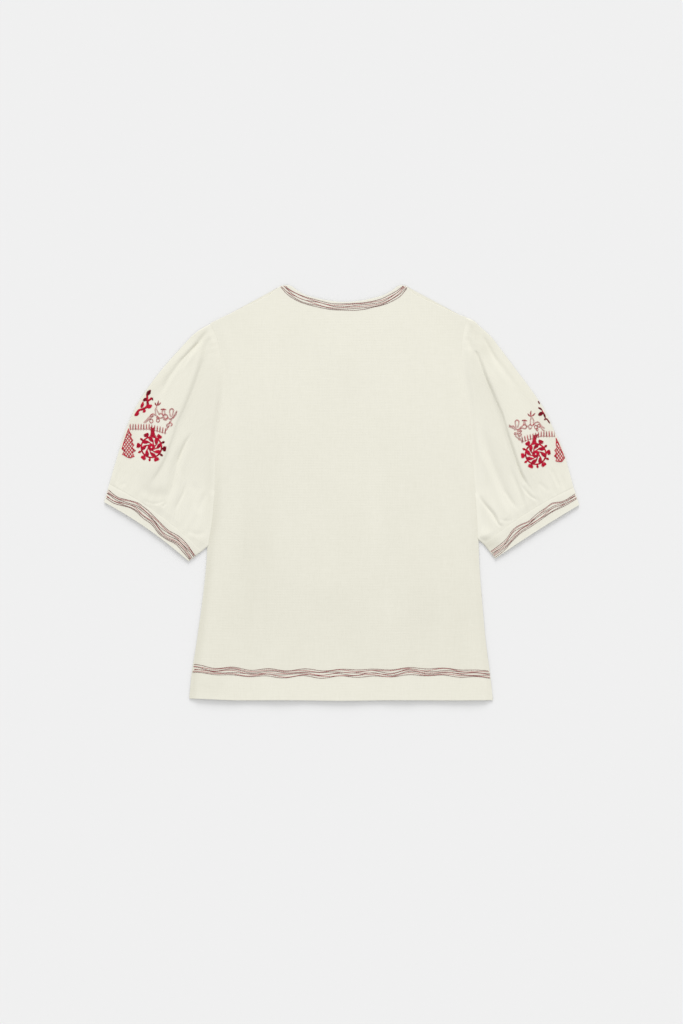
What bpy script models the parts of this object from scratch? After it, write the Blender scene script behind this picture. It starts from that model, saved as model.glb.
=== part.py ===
# Embroidered blouse, laid flat on its front with its back up.
# +X runs to the right across the blouse, +Y towards the neck and +Z up off the table.
# The tables are in millimetres and the meshes in metres. The origin is under the middle
# of the blouse, on the table.

from collections import namedtuple

import bmesh
import bpy
import numpy as np

MM = 0.001

# Cloth and seams
CLOTH = 1.0            # wall of every piece
SEAM_GAP = 0.35        # clear space between two pieces at a seam
LAYER_GAP = 0.3        # clear space between the back and the front under it
EDGE_RADIUS = 1.4      # a folded edge, half of two layers and the air between them

# Body panels
HEM_Y = -333.0         # hem at the middle of the back
HEM_DIP = 1.3          # how far the hem's own waves reach
HEM_DIPS = 2.5
FRONT_SHORTER = 1.5    # the front's shoulders and hem stay hidden by this much
NECK_SHIFT = 3.0       # the neckline lies a little to the right

# Sleeves
SLEEVE_PUFF = 10.5     # how far the upper layer stands off the lower one
PUFF_REACH = 30.0      # distance from a folded edge over which it swells
ROOM_REACH = 6.0       # and over which gathers come in
ARM_SHARE = 0.16       # what is left of the swelling at the armhole seam
ARM_REACH = 26.0
CUFF_SHARE = 0.47      # and at the cuff seam
CUFF_REACH = 30.0
CUFF_GATHERS = 11
CUFF_GATHER_HEIGHT = 1.5
CUFF_GATHER_REACH = 24.0
CAP_GATHERS = 5
CAP_GATHER_PITCH = 12.0
CAP_GATHER_HEIGHT = 1.3
CAP_GATHER_REACH = 30.0

# Cuffs
BAND_WIDTH = 27.0
BAND_PUFF = 4.3
BAND_REACH = 6.0
BAND_PUCKERS = 7
BAND_PUCKER_HEIGHT = 0.3

# Outer edge of the back and the front: armhole seams, then side seams
Side = namedtuple("Side", "y left right")
SIDE_EDGE = [
    Side(274, -212.0, 198.0),
    Side(250, -201.0, 193.0),
    Side(225, -194.5, 191.5),
    Side(195, -190.5, 194.0),
    Side(165, -190.5, 199.0),
    Side(135, -194.0, 203.0),
    Side(105, -198.0, 205.5),
    Side(70, -201.5, 208.5),
    Side(20, -204.0, 212.5),
    Side(-15, -206.0, 215.0),
    Side(-50, -209.5, 217.5),
    Side(-84, -215.0, 218.5),
    Side(-110, -219.5, 221.0),
    Side(-170, -226.0, 225.5),
    Side(-235, -235.0, 231.5),
    Side(-300, -243.5, 239.5),
    Side(-333, -246.0, 243.0),
]

# Upper edge of the back from the middle of the neck out to the shoulder, the same on both sides
Top = namedtuple("Top", "x y")
NECK_EDGE = [Top(0, 308.3), Top(22, 310.0), Top(44, 314.4), Top(66, 321.0), Top(77, 327.5), Top(87, 334.3)]
SHOULDER_EDGE = [Top(101, 333.4), Top(108, 328.0), Top(114, 321.2), Top(129, 314.0), Top(156, 301.6)]

# The front's neckline, which is cut deeper and lies out of sight
FRONT_NECK = [Top(0, 204), Top(32, 208), Top(62, 226), Top(85, 260), Top(96, 298), Top(100, 331)]

# Rows of the panels: where they cross each side edge, and how many lie between
Span = namedtuple("Span", "name rows left_end right_end")
PANEL_ROWS = [
    Span("armhole", 12, 6.0, 4.0),
    Span("under the arm", 4, -84.0, -73.0),
    Span("side seam", 8, -333.0, -333.0),
]
SHOULDER_TIP = {"left": 272.5, "right": 277.0}
PANEL_COLUMN = 21.0    # widest column of the back

# Soft hills and hollows of the back panel: place, half widths, turn in degrees, height
Swell = namedtuple("Swell", "x y wide long turn height")
BACK_SWELLS = [
    Swell(-150, 150, 30, 90, 6, 1.1),
    Swell(150, 160, 28, 85, -8, 1.1),
    Swell(-70, 60, 34, 120, 10, 0.7),
    Swell(62, 20, 30, 130, -7, 0.8),
    Swell(8, 190, 16, 60, 2, 0.5),
    Swell(-120, -110, 42, 80, -14, 0.7),
    Swell(120, -120, 38, 90, 12, 0.7),
    Swell(10, -180, 40, 90, 4, 0.6),
]
HEM_WAVES = 5
HEM_WAVE_HEIGHT = 1.1
HEM_WAVE_REACH = 60.0

# Each sleeve: the folded edge from the shoulder to the cuff, the cuff's corners, how far its
# seam and its lower edge bow towards the sleeve, and where the folded edge under the arm starts
Point = namedtuple("Point", "x y")
Sleeve = namedtuple("Sleeve", "side fold seam_fold seam_arm mouth_arm mouth_fold seam_bow mouth_bow")
SLEEVES = [
    Sleeve("left",
           [Point(-230, 260), Point(-261, 228), Point(-289, 196), Point(-313, 164), Point(-332, 132),
            Point(-346, 100), Point(-356, 68), Point(-364.5, 40)],
           Point(-372, 14), Point(-224.5, -93), Point(-248.8, -108.6), Point(-380.3, -14.7), 7.5, 5.0),
    Sleeve("right",
           [Point(229, 260), Point(256, 228), Point(280, 196), Point(304, 164), Point(325, 132),
            Point(340, 100), Point(354.5, 68), Point(364, 36)],
           Point(371.5, 8.5), Point(228, -82), Point(246.4, -102.4), Point(380.3, -19.2), 6.0, 1.5),
]

# The sleeves' largest folds: the route of each trough, its half width and depth, and the bank
# of cloth that stands up beside it, on the right of the route where it is positive
FOLD_POINTS = 25
FOLD_FADE = 0.18       # share of a trough's length over which it starts and ends
FOLD_END = 0.25        # share of its depth that is left there
BANK_PLACE = 1.7       # the bank's distance from the trough, in half widths
FOLD_ROOM = 0.45       # share of the puff at which folds reach their full depth
Fold = namedtuple("Fold", "side route wide deep bank")
FOLDS = [
    Fold("left", [(-223, 255), (-236, 234), (-264, 209), (-282, 183), (-291, 160)], 7, 2.2, -1.4),
    Fold("left", [(-214, 236), (-227, 194), (-245, 154), (-261, 124), (-274, 84), (-293, 38), (-316, 5)],
         8, 3.8, 1.9),
    Fold("left", [(-236, 103), (-256, 70), (-267, 41), (-276, 1), (-283, -20)], 8, 2.9, -1.4),
    Fold("left", [(-303, -18), (-288, -11), (-272, -10)], 5, 1.3, 0.8),
    Fold("left", [(-356, 52), (-362, 16)], 5, 1.3, 0.0),
    Fold("right", [(212, 232), (235, 178), (256, 124), (269, 74), (286, 34), (320, -8)], 7, 4.6, -2.3),
    Fold("right", [(284, 32), (301, 2), (314, -12)], 4, 1.6, 0.6),
    Fold("right", [(228, 244), (252, 206), (278, 172), (292, 150)], 8, 2.5, 1.5),
    Fold("right", [(231, 124), (241, 70), (254, 21), (280, -24)], 9, 2.8, 1.4),
    Fold("right", [(218, 2), (235, -25), (253, -52)], 7, 2.2, 1.0),
]

# Rows and columns of the sleeves and the cuffs
SLEEVE_ROWS = 16
COLUMNS_PER_ARM_ROW = 3
EDGE_STEPS = (0.0024, 0.0075)   # share of the width at which a folded edge has rounded off
ARM_STEPS = (0.006, 0.020)
BAND_ROWS = 4
BAND_COLUMNS = 28
BAND_UNDER_STEP = 4             # its flat underside has a column at every fourth one of the top
NECK_POINTS = 25
CORNER_REACH = 0.25             # share of an edge over which a corner's inset fades out
STEEPEST = 0.62                 # least cosine of a slope that the wall allows for
SHARP_ANGLE = 50.0

# Drift of the gathers along their seam, so that no two are alike: size, turns, start
Drift = namedtuple("Drift", "size turns start")
GATHER_DRIFTS = [Drift(0.011, 2.3, 0.6), Drift(0.006, 5.1, 0.0)]

Colour = namedtuple("Colour", "name red green blue roughness")
COLOURS = [
    Colour("back", 0.82, 0.80, 0.71, 0.88),
    Colour("front", 0.80, 0.78, 0.69, 0.88),
    Colour("sleeve_left", 0.83, 0.81, 0.72, 0.88),
    Colour("sleeve_right", 0.83, 0.81, 0.72, 0.88),
    Colour("cuff_left", 0.80, 0.72, 0.66, 0.88),
    Colour("cuff_right", 0.80, 0.72, 0.66, 0.88),
]


def smooth_through(stations, values, places):
    # Cubic curve through the rows of a table, read at other places
    stations = np.asarray(stations, float)
    values = np.asarray(values, float)
    places = np.clip(np.asarray(places, float), stations[0], stations[-1])
    slopes = np.gradient(values, stations)
    span = np.clip(np.searchsorted(stations, places) - 1, 0, len(stations) - 2)
    width = stations[span + 1] - stations[span]
    f = (places - stations[span]) / width
    return ((2 * f**3 - 3 * f**2 + 1) * values[span] + (f**3 - 2 * f**2 + f) * width * slopes[span]
            + (3 * f**2 - 2 * f**3) * values[span + 1] + (f**3 - f**2) * width * slopes[span + 1])


def run_lengths(line):
    steps = np.linalg.norm(np.diff(line, axis=0), axis=1)
    return np.concatenate([[0.0], np.cumsum(steps)])


def smooth_line(points, shares):
    # A smooth curve through points, read at shares of its length
    points = np.asarray(points, float)
    run = run_lengths(points)
    at = np.asarray(shares, float) * run[-1]
    return np.column_stack([smooth_through(run, points[:, k], at) for k in (0, 1)])


def straight_line(line, shares):
    # The same on straight stretches between the points
    line = np.asarray(line, float)
    run = run_lengths(line)
    at = np.asarray(shares, float) * run[-1]
    return np.column_stack([np.interp(at, run, line[:, k]) for k in (0, 1)])


def bowed_line(start, end, bow, towards, shares):
    # A line that bows towards a point
    start, end = np.asarray(start, float), np.asarray(end, float)
    shares = np.asarray(shares, float)[:, None]
    across = np.array([-(end - start)[1], (end - start)[0]])
    across /= np.linalg.norm(across)
    if across @ (np.asarray(towards, float) - start) < 0:
        across = -across
    return start + (end - start) * shares + across * bow * 4 * shares * (1 - shares)


def distance_to(lines, places):
    # Distance of places from lines of straight stretches, with the side and the share run
    flat = places.reshape(-1, 2)
    start = np.vstack([line[:-1] for line in lines])
    step = np.vstack([np.diff(line, axis=0) for line in lines])
    length = np.linalg.norm(step, axis=1)
    offset = flat[:, None, :] - start[None]
    along = np.clip((offset * step).sum(2) / length**2, 0, 1)
    apart = offset - along[..., None] * step
    far = np.linalg.norm(apart, axis=2)
    best = far.argmin(1)
    pick = np.arange(len(flat))
    turn = step[best, 0] * offset[pick, best, 1] - step[best, 1] * offset[pick, best, 0]
    run = np.concatenate([[0.0], np.cumsum(length)])
    share = (run[best] + along[pick, best] * length[best]) / run[-1]
    shape = places.shape[:-1]
    return far[pick, best].reshape(shape), -np.sign(turn).reshape(shape), share.reshape(shape)


def patch(first_row, last_row, first_column, last_column, u, v):
    # Rows and columns of points inside four edges that meet at the corners
    u, v = u[:, None, None], v[None, :, None]
    rows = (1 - u) * first_row[None] + u * last_row[None]
    columns = (1 - v) * first_column[:, None] + v * last_column[:, None]
    corners = ((1 - u) * (1 - v) * first_row[0] + (1 - u) * v * first_row[-1]
               + u * (1 - v) * last_row[0] + u * v * last_row[-1])
    return rows + columns - corners


def side_rows(side):
    # Height on the blouse of each panel row at one side, from the shoulder's tip to the hem
    rows = [SHOULDER_TIP[side]]
    for span in PANEL_ROWS:
        end = span.left_end if side == "left" else span.right_end
        rows += list(np.linspace(rows[-1], end, span.rows + 1)[1:])
    return np.array(rows)


def side_points(side):
    rows = side_rows(side)
    stations = [row.y for row in reversed(SIDE_EDGE)]
    values = [getattr(row, side) for row in reversed(SIDE_EDGE)]
    return np.column_stack([smooth_through(stations, values, rows), rows])


def split_long(points, longest):
    # More points on every stretch that is longer than this
    out = [points[0]]
    for start, end in zip(points[:-1], points[1:]):
        parts = max(1, int(np.ceil(np.linalg.norm(np.subtract(end, start)) / longest)))
        out += [tuple(np.add(start, np.subtract(end, start) * k / parts)) for k in range(1, parts + 1)]
    return np.array(out)


def upper_edge(left_tip, right_tip):
    # Shoulder, neckline and shoulder of the back, from tip to tip
    half = [(p.x, p.y) for p in NECK_EDGE]
    neck = [(NECK_SHIFT - x, y) for x, y in reversed(half[1:])] + [(NECK_SHIFT + x, y) for x, y in half]
    shoulder = [(p.x, p.y) for p in SHOULDER_EDGE]
    left = [tuple(left_tip)] + [(-x, y) for x, y in reversed(shoulder)]
    right = shoulder + [tuple(right_tip)]
    return split_long(left + neck + right, PANEL_COLUMN)


def hem_line(left, right, shares):
    # The hem from side to side, with its shallow waves
    line = left + (right - left) * shares[:, None]
    line[:, 1] -= HEM_DIP * np.sin(np.pi * shares) * (1 + np.sin(2 * np.pi * HEM_DIPS * shares)) / 2
    return line


def panel_grid():
    left, right = side_points("left"), side_points("right")
    top = upper_edge(left[0], right[0])
    run = run_lengths(left)
    u = run / run[-1]
    v = (top[:, 0] - top[0, 0]) / (top[-1, 0] - top[0, 0])
    return patch(top, hem_line(left[-1], right[-1], v), left, right, u, v)


def back_loft(places):
    # How far the back stands off the front: soft swellings and a waved hem
    x, y = places[..., 0], places[..., 1]
    loft = np.zeros(x.shape)
    for swell in BACK_SWELLS:
        turn = np.radians(swell.turn)
        across = (x - swell.x) * np.cos(turn) + (y - swell.y) * np.sin(turn)
        along = (y - swell.y) * np.cos(turn) - (x - swell.x) * np.sin(turn)
        loft += swell.height * np.exp(-(across / swell.wide)**2 - (along / swell.long)**2)
    hem = np.exp((HEM_Y - y) / HEM_WAVE_REACH)
    corner = SIDE_EDGE[-1]
    wave = 0.5 - 0.5 * np.cos(2 * np.pi * HEM_WAVES * (x - corner.left) / (corner.right - corner.left))
    return loft + HEM_WAVE_HEIGHT * wave * hem


def fold_relief(side, places):
    relief = np.zeros(places.shape[:-1])
    for fold in FOLDS:
        if fold.side != side:
            continue
        route = smooth_line(fold.route, np.linspace(0, 1, FOLD_POINTS))
        far, hand, share = distance_to([route], places)
        ends = np.clip(np.minimum(share, 1 - share) / FOLD_FADE, 0, 1)
        ends = ends * ends * (3 - 2 * ends)
        relief -= fold.deep * np.exp(-(far / fold.wide)**2) * (FOLD_END + (1 - FOLD_END) * ends)
        beside = far - BANK_PLACE * fold.wide
        on_bank = hand * np.sign(fold.bank) > 0
        relief += abs(fold.bank) * np.exp(-(beside / fold.wide)**2) * ends * on_bank
    return relief


def even_wave(share, count):
    # Gathers of uneven width, from 0 in a trough to 1 on a crest
    drift = sum(row.size * np.sin(2 * np.pi * row.turns * share + row.start) for row in GATHER_DRIFTS)
    return 0.5 - 0.5 * np.cos(2 * np.pi * count * (share + drift))


def sleeve_height(sleeve, places, v, edges):
    # Top of the sleeve's upper layer above the table
    to_fold = distance_to(edges["closed"], places)[0]
    to_arm, _, arm_share = distance_to([edges["armhole"]], places)
    to_cuff = distance_to([edges["seam"]], places)[0]
    swell = 1 - np.exp(-to_fold / PUFF_REACH)
    swell *= ARM_SHARE + (1 - ARM_SHARE) * (1 - np.exp(-to_arm / ARM_REACH))
    swell *= CUFF_SHARE + (1 - CUFF_SHARE) * (1 - np.exp(-to_cuff / CUFF_REACH))
    height = SLEEVE_PUFF * swell
    room = 1 - np.exp(-to_fold / ROOM_REACH)
    height += fold_relief(sleeve.side, places) * np.minimum(1, swell / FOLD_ROOM)
    gathers = even_wave(v, CUFF_GATHERS) * np.exp(-to_cuff / CUFF_GATHER_REACH)
    height += CUFF_GATHER_HEIGHT * gathers * room
    down = arm_share * run_lengths(edges["armhole"])[-1]
    cap = np.clip(1 - down / (CAP_GATHERS * CAP_GATHER_PITCH), 0, 1)
    wave = 0.5 - 0.5 * np.cos(2 * np.pi * down / CAP_GATHER_PITCH)
    height += CAP_GATHER_HEIGHT * wave * np.sqrt(cap) * np.exp(-to_arm / CAP_GATHER_REACH) * room
    return 2 * EDGE_RADIUS + np.maximum(height, 0)


def band_height(places, v, edges):
    to_fold = distance_to(edges["closed"], places)[0]
    puckers = BAND_PUCKER_HEIGHT * np.cos(2 * np.pi * BAND_PUCKERS * v)
    return 2 * EDGE_RADIUS + (BAND_PUFF + puckers) * (1 - np.exp(-to_fold / BAND_REACH))


def inward(line, middle):
    # Unit normals of a line, towards the middle of its piece
    tangent = np.gradient(line, axis=0)
    normal = np.column_stack([-tangent[:, 1], tangent[:, 0]])
    normal /= np.linalg.norm(normal, axis=1)[:, None]
    away = ((middle - line) * normal).sum(1) < 0
    normal[away] *= -1
    return normal


def direction(step):
    return step / np.linalg.norm(step)


def slide(along, normal):
    # Move along an open edge until the folded edge beside it is one wall away
    return along * CLOTH / (along @ normal)


def fade_in(base, first, last, shares):
    # Moves along one edge, which meet the moves of its two corners smoothly
    near_first = np.clip(1 - shares / CORNER_REACH, 0, 1)[:, None]
    near_last = np.clip(1 - (1 - shares) / CORNER_REACH, 0, 1)[:, None]
    return base + (first - base[0]) * near_first + (last - base[-1]) * near_last


def inset(grid, u, v, closed_from):
    # How far each point of a grid moves so that the folded edges move in by one wall
    middle = grid.reshape(-1, 2).mean(0)
    fold, under = inward(grid[:, 0], middle), inward(grid[:, -1], middle)
    corners = {
        "first fold": slide(direction(grid[0, 1] - grid[0, 0]), fold[0]),
        "first under": slide(direction(grid[0, -2] - grid[0, -1]), under[0]),
        "last fold": slide(direction(grid[-1, 1] - grid[-1, 0]), fold[-1]),
        "last under": slide(direction(grid[-1, -2] - grid[-1, -1]), under[-1]),
    }
    first, last = np.zeros((len(v), 2)), np.zeros((len(v), 2))
    if closed_from is not None:
        beside = inward(grid[0], middle)
        first[closed_from:] = beside[closed_from:] * CLOTH
        upward = direction(grid[0, closed_from - 1] - grid[0, closed_from])
        first[closed_from] = direction(beside[closed_from] + upward) * CLOTH
        corners["first under"] = (beside[-1] + under[0]) * CLOTH / (1 + beside[-1] @ under[0])
        halfway = (1 - v[closed_from]) / 2
        near = np.clip(1 - (1 - v) / halfway, 0, 1)[:, None]
        first += (corners["first under"] - first[-1]) * near
        first += corners["first fold"] * np.clip(1 - v / CORNER_REACH, 0, 1)[:, None]
    else:
        first = fade_in(first, corners["first fold"], corners["first under"], v)
    last = fade_in(last, corners["last fold"], corners["last under"], v)
    fold = fade_in(fold * CLOTH, corners["first fold"], corners["last fold"], u)
    under = fade_in(under * CLOTH, corners["first under"], corners["last under"], u)
    return patch(first, last, fold, under, u, v)


def closed_lines(grid, closed_from):
    # The folded edges of a flattened tube
    under = grid[:, -1]
    if closed_from is not None:
        under = np.vstack([grid[0, closed_from:], grid[1:, -1]])
    return [grid[:, 0], under]


def rounded(far, radius):
    # Share of the full height that a folded edge has reached this far in
    near = 1 - np.clip(far / radius, 0, 1)
    return np.sqrt(np.clip(1 - near**2, 0, 1))


def wall_rise(grid, height):
    # Height that one wall takes up where the cloth slopes
    surface = np.dstack([grid, height])
    along = np.gradient(surface, axis=0)
    across = np.gradient(surface, axis=1)
    normal = np.cross(along, across)
    level = np.abs(normal[..., 2]) / np.linalg.norm(normal, axis=2)
    return CLOTH / np.clip(level, STEEPEST, 1.0)


def lay_tube(name, grid, u, v, top, closed_from, sparse):
    # A flattened tube of cloth: an upper and a lower layer that meet at the folded edges,
    # open at its first row as far as closed_from, and at its last row
    inner_grid = grid + inset(grid, u, v, closed_from)
    rows, columns = grid.shape[:2]
    far = distance_to(closed_lines(grid, closed_from), grid)[0]
    far_inside = distance_to(closed_lines(inner_grid, closed_from), inner_grid)[0]
    shut = np.zeros((rows, columns), bool)
    shut[:, 0] = shut[:, -1] = True
    if closed_from is not None:
        shut[0, closed_from:] = True
    far[shut] = far_inside[shut] = 0
    height = top(grid)
    under = top(inner_grid) - wall_rise(grid, height)
    inner_radius = EDGE_RADIUS - CLOTH
    skins = {
        "top": (grid, EDGE_RADIUS + (height - EDGE_RADIUS) * rounded(far, EDGE_RADIUS)),
        "bottom": (grid, EDGE_RADIUS * (1 - rounded(far, EDGE_RADIUS))),
        "under": (inner_grid, EDGE_RADIUS + (under - EDGE_RADIUS) * rounded(far_inside, inner_radius)),
        "floor": (inner_grid, EDGE_RADIUS - inner_radius * rounded(far_inside, inner_radius)),
    }
    index, points = {}, []
    for skin, twin in (("top", None), ("bottom", "top"), ("under", None), ("floor", "under")):
        plan, level = skins[skin]
        ids = np.zeros((rows, columns), int)
        for i in range(rows):
            for j in range(columns):
                if twin and shut[i, j]:
                    ids[i, j] = index[twin][i, j]
                    continue
                ids[i, j] = len(points)
                points.append((plan[i, j, 0], plan[i, j, 1], level[i, j]))
        index[skin] = ids
    faces = []
    every = list(range(columns))
    for skin, picked in (("top", every), ("under", every), ("bottom", sparse), ("floor", sparse)):
        ids = index[skin]
        for i in range(rows - 1):
            for a, b in zip(picked[:-1], picked[1:]):
                if shut[i, a] and shut[i, b] and shut[i + 1, b]:
                    # Where two folded edges meet, both halves reach the free corner
                    faces.append((ids[i, a], ids[i, b], ids[i + 1, a]))
                    faces.append((ids[i, b], ids[i + 1, b], ids[i + 1, a]))
                else:
                    faces.append((ids[i, a], ids[i, b], ids[i + 1, b], ids[i + 1, a]))
    for i, last in ((0, closed_from), (rows - 1, None)):
        for outer, inner, picked in (("top", "under", every), ("bottom", "floor", sparse)):
            outside, inside = index[outer][i], index[inner][i]
            for a, b in zip(picked[:-1], picked[1:]):
                if last is None or b <= last:
                    faces.append((outside[a], outside[b], inside[b], inside[a]))
    return make_object(name, points, faces)


def lay_sheet(name, grid, level):
    # A single layer of cloth over rows and columns, with its cut edges closed
    rows, columns = grid.shape[:2]
    points = [(x, y, z) for (x, y), z in zip(grid.reshape(-1, 2), level.ravel())]
    points += [(x, y, z + CLOTH) for x, y, z in points]
    ids = np.arange(rows * columns).reshape(rows, columns)
    upper = ids + rows * columns
    faces = []
    for skin in (ids, upper):
        for i in range(rows - 1):
            for j in range(columns - 1):
                faces.append((skin[i, j], skin[i, j + 1], skin[i + 1, j + 1], skin[i + 1, j]))
    rim = list(ids[0]) + list(ids[1:, -1]) + list(ids[-1, -2::-1]) + list(ids[-2:0:-1, 0])
    for a, b in zip(rim, rim[1:] + rim[:1]):
        faces.append((a, b, b + rows * columns, a + rows * columns))
    return make_object(name, points, faces)


def make_object(name, points, faces):
    bm = bmesh.new()
    verts = [bm.verts.new((x * MM, y * MM, z * MM)) for x, y, z in points]
    for face in faces:
        bm.faces.new([verts[k] for k in face])
    loose = [vert for vert in bm.verts if not vert.link_faces]
    bmesh.ops.delete(bm, geom=loose, context="VERTS")
    bmesh.ops.triangulate(bm, faces=bm.faces[:])
    bmesh.ops.recalc_face_normals(bm, faces=bm.faces[:])
    mesh = bpy.data.meshes.new(name)
    bm.to_mesh(mesh)
    bm.free()
    mesh.shade_smooth()
    mesh.set_sharp_from_angle(angle=np.radians(SHARP_ANGLE))
    piece = bpy.data.objects.new(name, mesh)
    bpy.context.collection.objects.link(piece)
    mesh.materials.append(cloth_material(name))
    return piece


def cloth_material(name):
    colour = next(row for row in COLOURS if row.name == name)
    material = bpy.data.materials.new(name + "_cotton")
    material.use_nodes = True
    shader = material.node_tree.nodes["Principled BSDF"]
    shader.inputs["Base Color"].default_value = (colour.red, colour.green, colour.blue, 1)
    shader.inputs["Roughness"].default_value = colour.roughness
    shader.inputs["Metallic"].default_value = 0.0
    material.diffuse_color = (colour.red, colour.green, colour.blue, 1)
    return material


def make_back():
    grid = panel_grid()
    return lay_sheet("back", grid, CLOTH + LAYER_GAP + back_loft(grid))


def make_front():
    # A flat piece under the back: sides and hem as on the back, and a deeper neckline
    left, right = side_points("left"), side_points("right")
    middle = NECK_SHIFT / 2
    neck = [(middle - p.x, p.y) for p in reversed(FRONT_NECK[1:])] + [(middle + p.x, p.y) for p in FRONT_NECK]
    neckline = [tuple(p) for p in smooth_line(neck, np.linspace(0, 1, NECK_POINTS))]
    for side in (left, right):
        side[0] += direction(side[1] - side[0]) * FRONT_SHORTER
        side[-1] += direction(side[-2] - side[-1]) * FRONT_SHORTER
    outline = list(left) + list(right[::-1]) + neckline[::-1]
    bm = bmesh.new()
    flat = bm.faces.new([bm.verts.new((x * MM, y * MM, 0)) for x, y in outline])
    raised = bmesh.ops.extrude_face_region(bm, geom=[flat])
    for vert in [item for item in raised["geom"] if isinstance(item, bmesh.types.BMVert)]:
        vert.co.z = CLOTH * MM
    bmesh.ops.triangulate(bm, faces=bm.faces[:])
    bmesh.ops.recalc_face_normals(bm, faces=bm.faces[:])
    mesh = bpy.data.meshes.new("front")
    bm.to_mesh(mesh)
    bm.free()
    piece = bpy.data.objects.new("front", mesh)
    bpy.context.collection.objects.link(piece)
    mesh.materials.append(cloth_material("front"))
    return piece


def edge_shares(count):
    # Even columns with closer ones at both folded edges
    inner = np.linspace(0, 1, count + 1)[1:-1]
    return np.concatenate([[0], EDGE_STEPS, inner, 1 - np.array(EDGE_STEPS[::-1]), [1]])


def sleeve_frame(sleeve):
    # The sleeve's four edges, and the share of each row and column
    body = side_points(sleeve.side)
    sign = -1 if sleeve.side == "left" else 1
    arm_rows, under_rows = PANEL_ROWS[0].rows, PANEL_ROWS[1].rows
    seam_side = body[:arm_rows + under_rows + 1] + (sign * SEAM_GAP, 0)
    stations = []
    for k in range(arm_rows):
        parts = COLUMNS_PER_ARM_ROW
        stations += [seam_side[k] + (seam_side[k + 1] - seam_side[k]) * f / parts for f in range(parts)]
    stations += list(seam_side[arm_rows:])
    arm_line = np.array(stations)
    plain = arm_rows * COLUMNS_PER_ARM_ROW + under_rows
    first = arm_line[0] + (arm_line[1] - arm_line[0]) * np.array(EDGE_STEPS)[:, None] * plain
    last = arm_line[-1] + (arm_line[-2] - arm_line[-1]) * np.array(EDGE_STEPS[::-1])[:, None] * plain
    arm_line = np.vstack([arm_line[:1], first, arm_line[1:-1], last, arm_line[-1:]])
    v = edge_shares(plain)
    closed_from = arm_rows * COLUMNS_PER_ARM_ROW + len(EDGE_STEPS)
    sparse = sorted({0, 1, 2} | {2 + k * COLUMNS_PER_ARM_ROW for k in range(1, arm_rows + 1)}
                    | set(range(closed_from, len(v))))
    u = np.concatenate([[0], ARM_STEPS, np.linspace(0, 1, SLEEVE_ROWS + 1)[1:]])
    fold_points = [tuple(arm_line[0])] + list(sleeve.fold) + [sleeve.seam_fold]
    fold = smooth_line(fold_points, u)
    under = straight_line([arm_line[-1], sleeve.seam_arm], u)
    seam = bowed_line(sleeve.seam_fold, sleeve.seam_arm, sleeve.seam_bow, arm_line[0], v)
    return arm_line, seam, fold, under, u, v, closed_from, sparse


def make_sleeve(sleeve):
    arm_line, seam, fold, under, u, v, closed_from, sparse = sleeve_frame(sleeve)
    grid = patch(arm_line, seam, fold, under, u, v)
    edges = {"closed": closed_lines(grid, closed_from), "armhole": arm_line[:closed_from + 1], "seam": seam}

    def top(places):
        return sleeve_height(sleeve, places, v[None, :], edges)

    return lay_tube("sleeve_" + sleeve.side, grid, u, v, top, closed_from, sparse)


def make_cuff(sleeve):
    v = edge_shares(BAND_COLUMNS)
    u = np.linspace(0, 1, BAND_ROWS + 1)
    towards = sleeve.fold[2]
    seam = bowed_line(sleeve.seam_fold, sleeve.seam_arm, sleeve.seam_bow, towards, v)
    mouth = bowed_line(sleeve.mouth_fold, sleeve.mouth_arm, sleeve.mouth_bow, towards, v)
    seam = seam + (mouth - seam) * SEAM_GAP / BAND_WIDTH
    fold = straight_line([seam[0], mouth[0]], u)
    under = straight_line([seam[-1], mouth[-1]], u)
    grid = patch(seam, mouth, fold, under, u, v)
    edges = {"closed": closed_lines(grid, None)}

    def top(places):
        return band_height(places, v[None, :], edges)

    ends = {0, 1, len(v) - 3, len(v) - 2, len(v) - 1}
    sparse = sorted(ends | set(range(2, len(v), BAND_UNDER_STEP)))
    return lay_tube("cuff_" + sleeve.side, grid, u, v, top, None, sparse)


def clear_scene():
    for item in list(bpy.data.objects):
        bpy.data.objects.remove(item, do_unlink=True)


def main():
    clear_scene()
    make_front()
    make_back()
    for sleeve in SLEEVES:
        make_sleeve(sleeve)
        make_cuff(sleeve)


main()
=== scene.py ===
import math
from collections import namedtuple

import bmesh
import bpy
import numpy as np
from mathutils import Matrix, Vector
from mathutils.bvhtree import BVHTree


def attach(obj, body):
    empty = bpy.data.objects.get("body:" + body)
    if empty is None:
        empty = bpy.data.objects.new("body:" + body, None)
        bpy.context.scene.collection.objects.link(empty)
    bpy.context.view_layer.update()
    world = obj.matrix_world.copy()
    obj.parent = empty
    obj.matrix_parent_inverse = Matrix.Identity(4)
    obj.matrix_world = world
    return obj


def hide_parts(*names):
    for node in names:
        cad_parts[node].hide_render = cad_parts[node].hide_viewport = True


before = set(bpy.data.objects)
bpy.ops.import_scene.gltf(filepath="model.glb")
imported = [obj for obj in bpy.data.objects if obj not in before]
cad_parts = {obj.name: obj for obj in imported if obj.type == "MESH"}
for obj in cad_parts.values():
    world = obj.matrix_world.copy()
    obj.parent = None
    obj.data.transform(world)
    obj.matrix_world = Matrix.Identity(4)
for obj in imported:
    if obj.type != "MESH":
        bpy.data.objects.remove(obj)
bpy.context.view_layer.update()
mm = 0.001
seed = 7
Place = namedtuple("Place", "x y")
print("frame loaded:", ", ".join(sorted(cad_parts)))


# Curves and surfaces in plan

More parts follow.
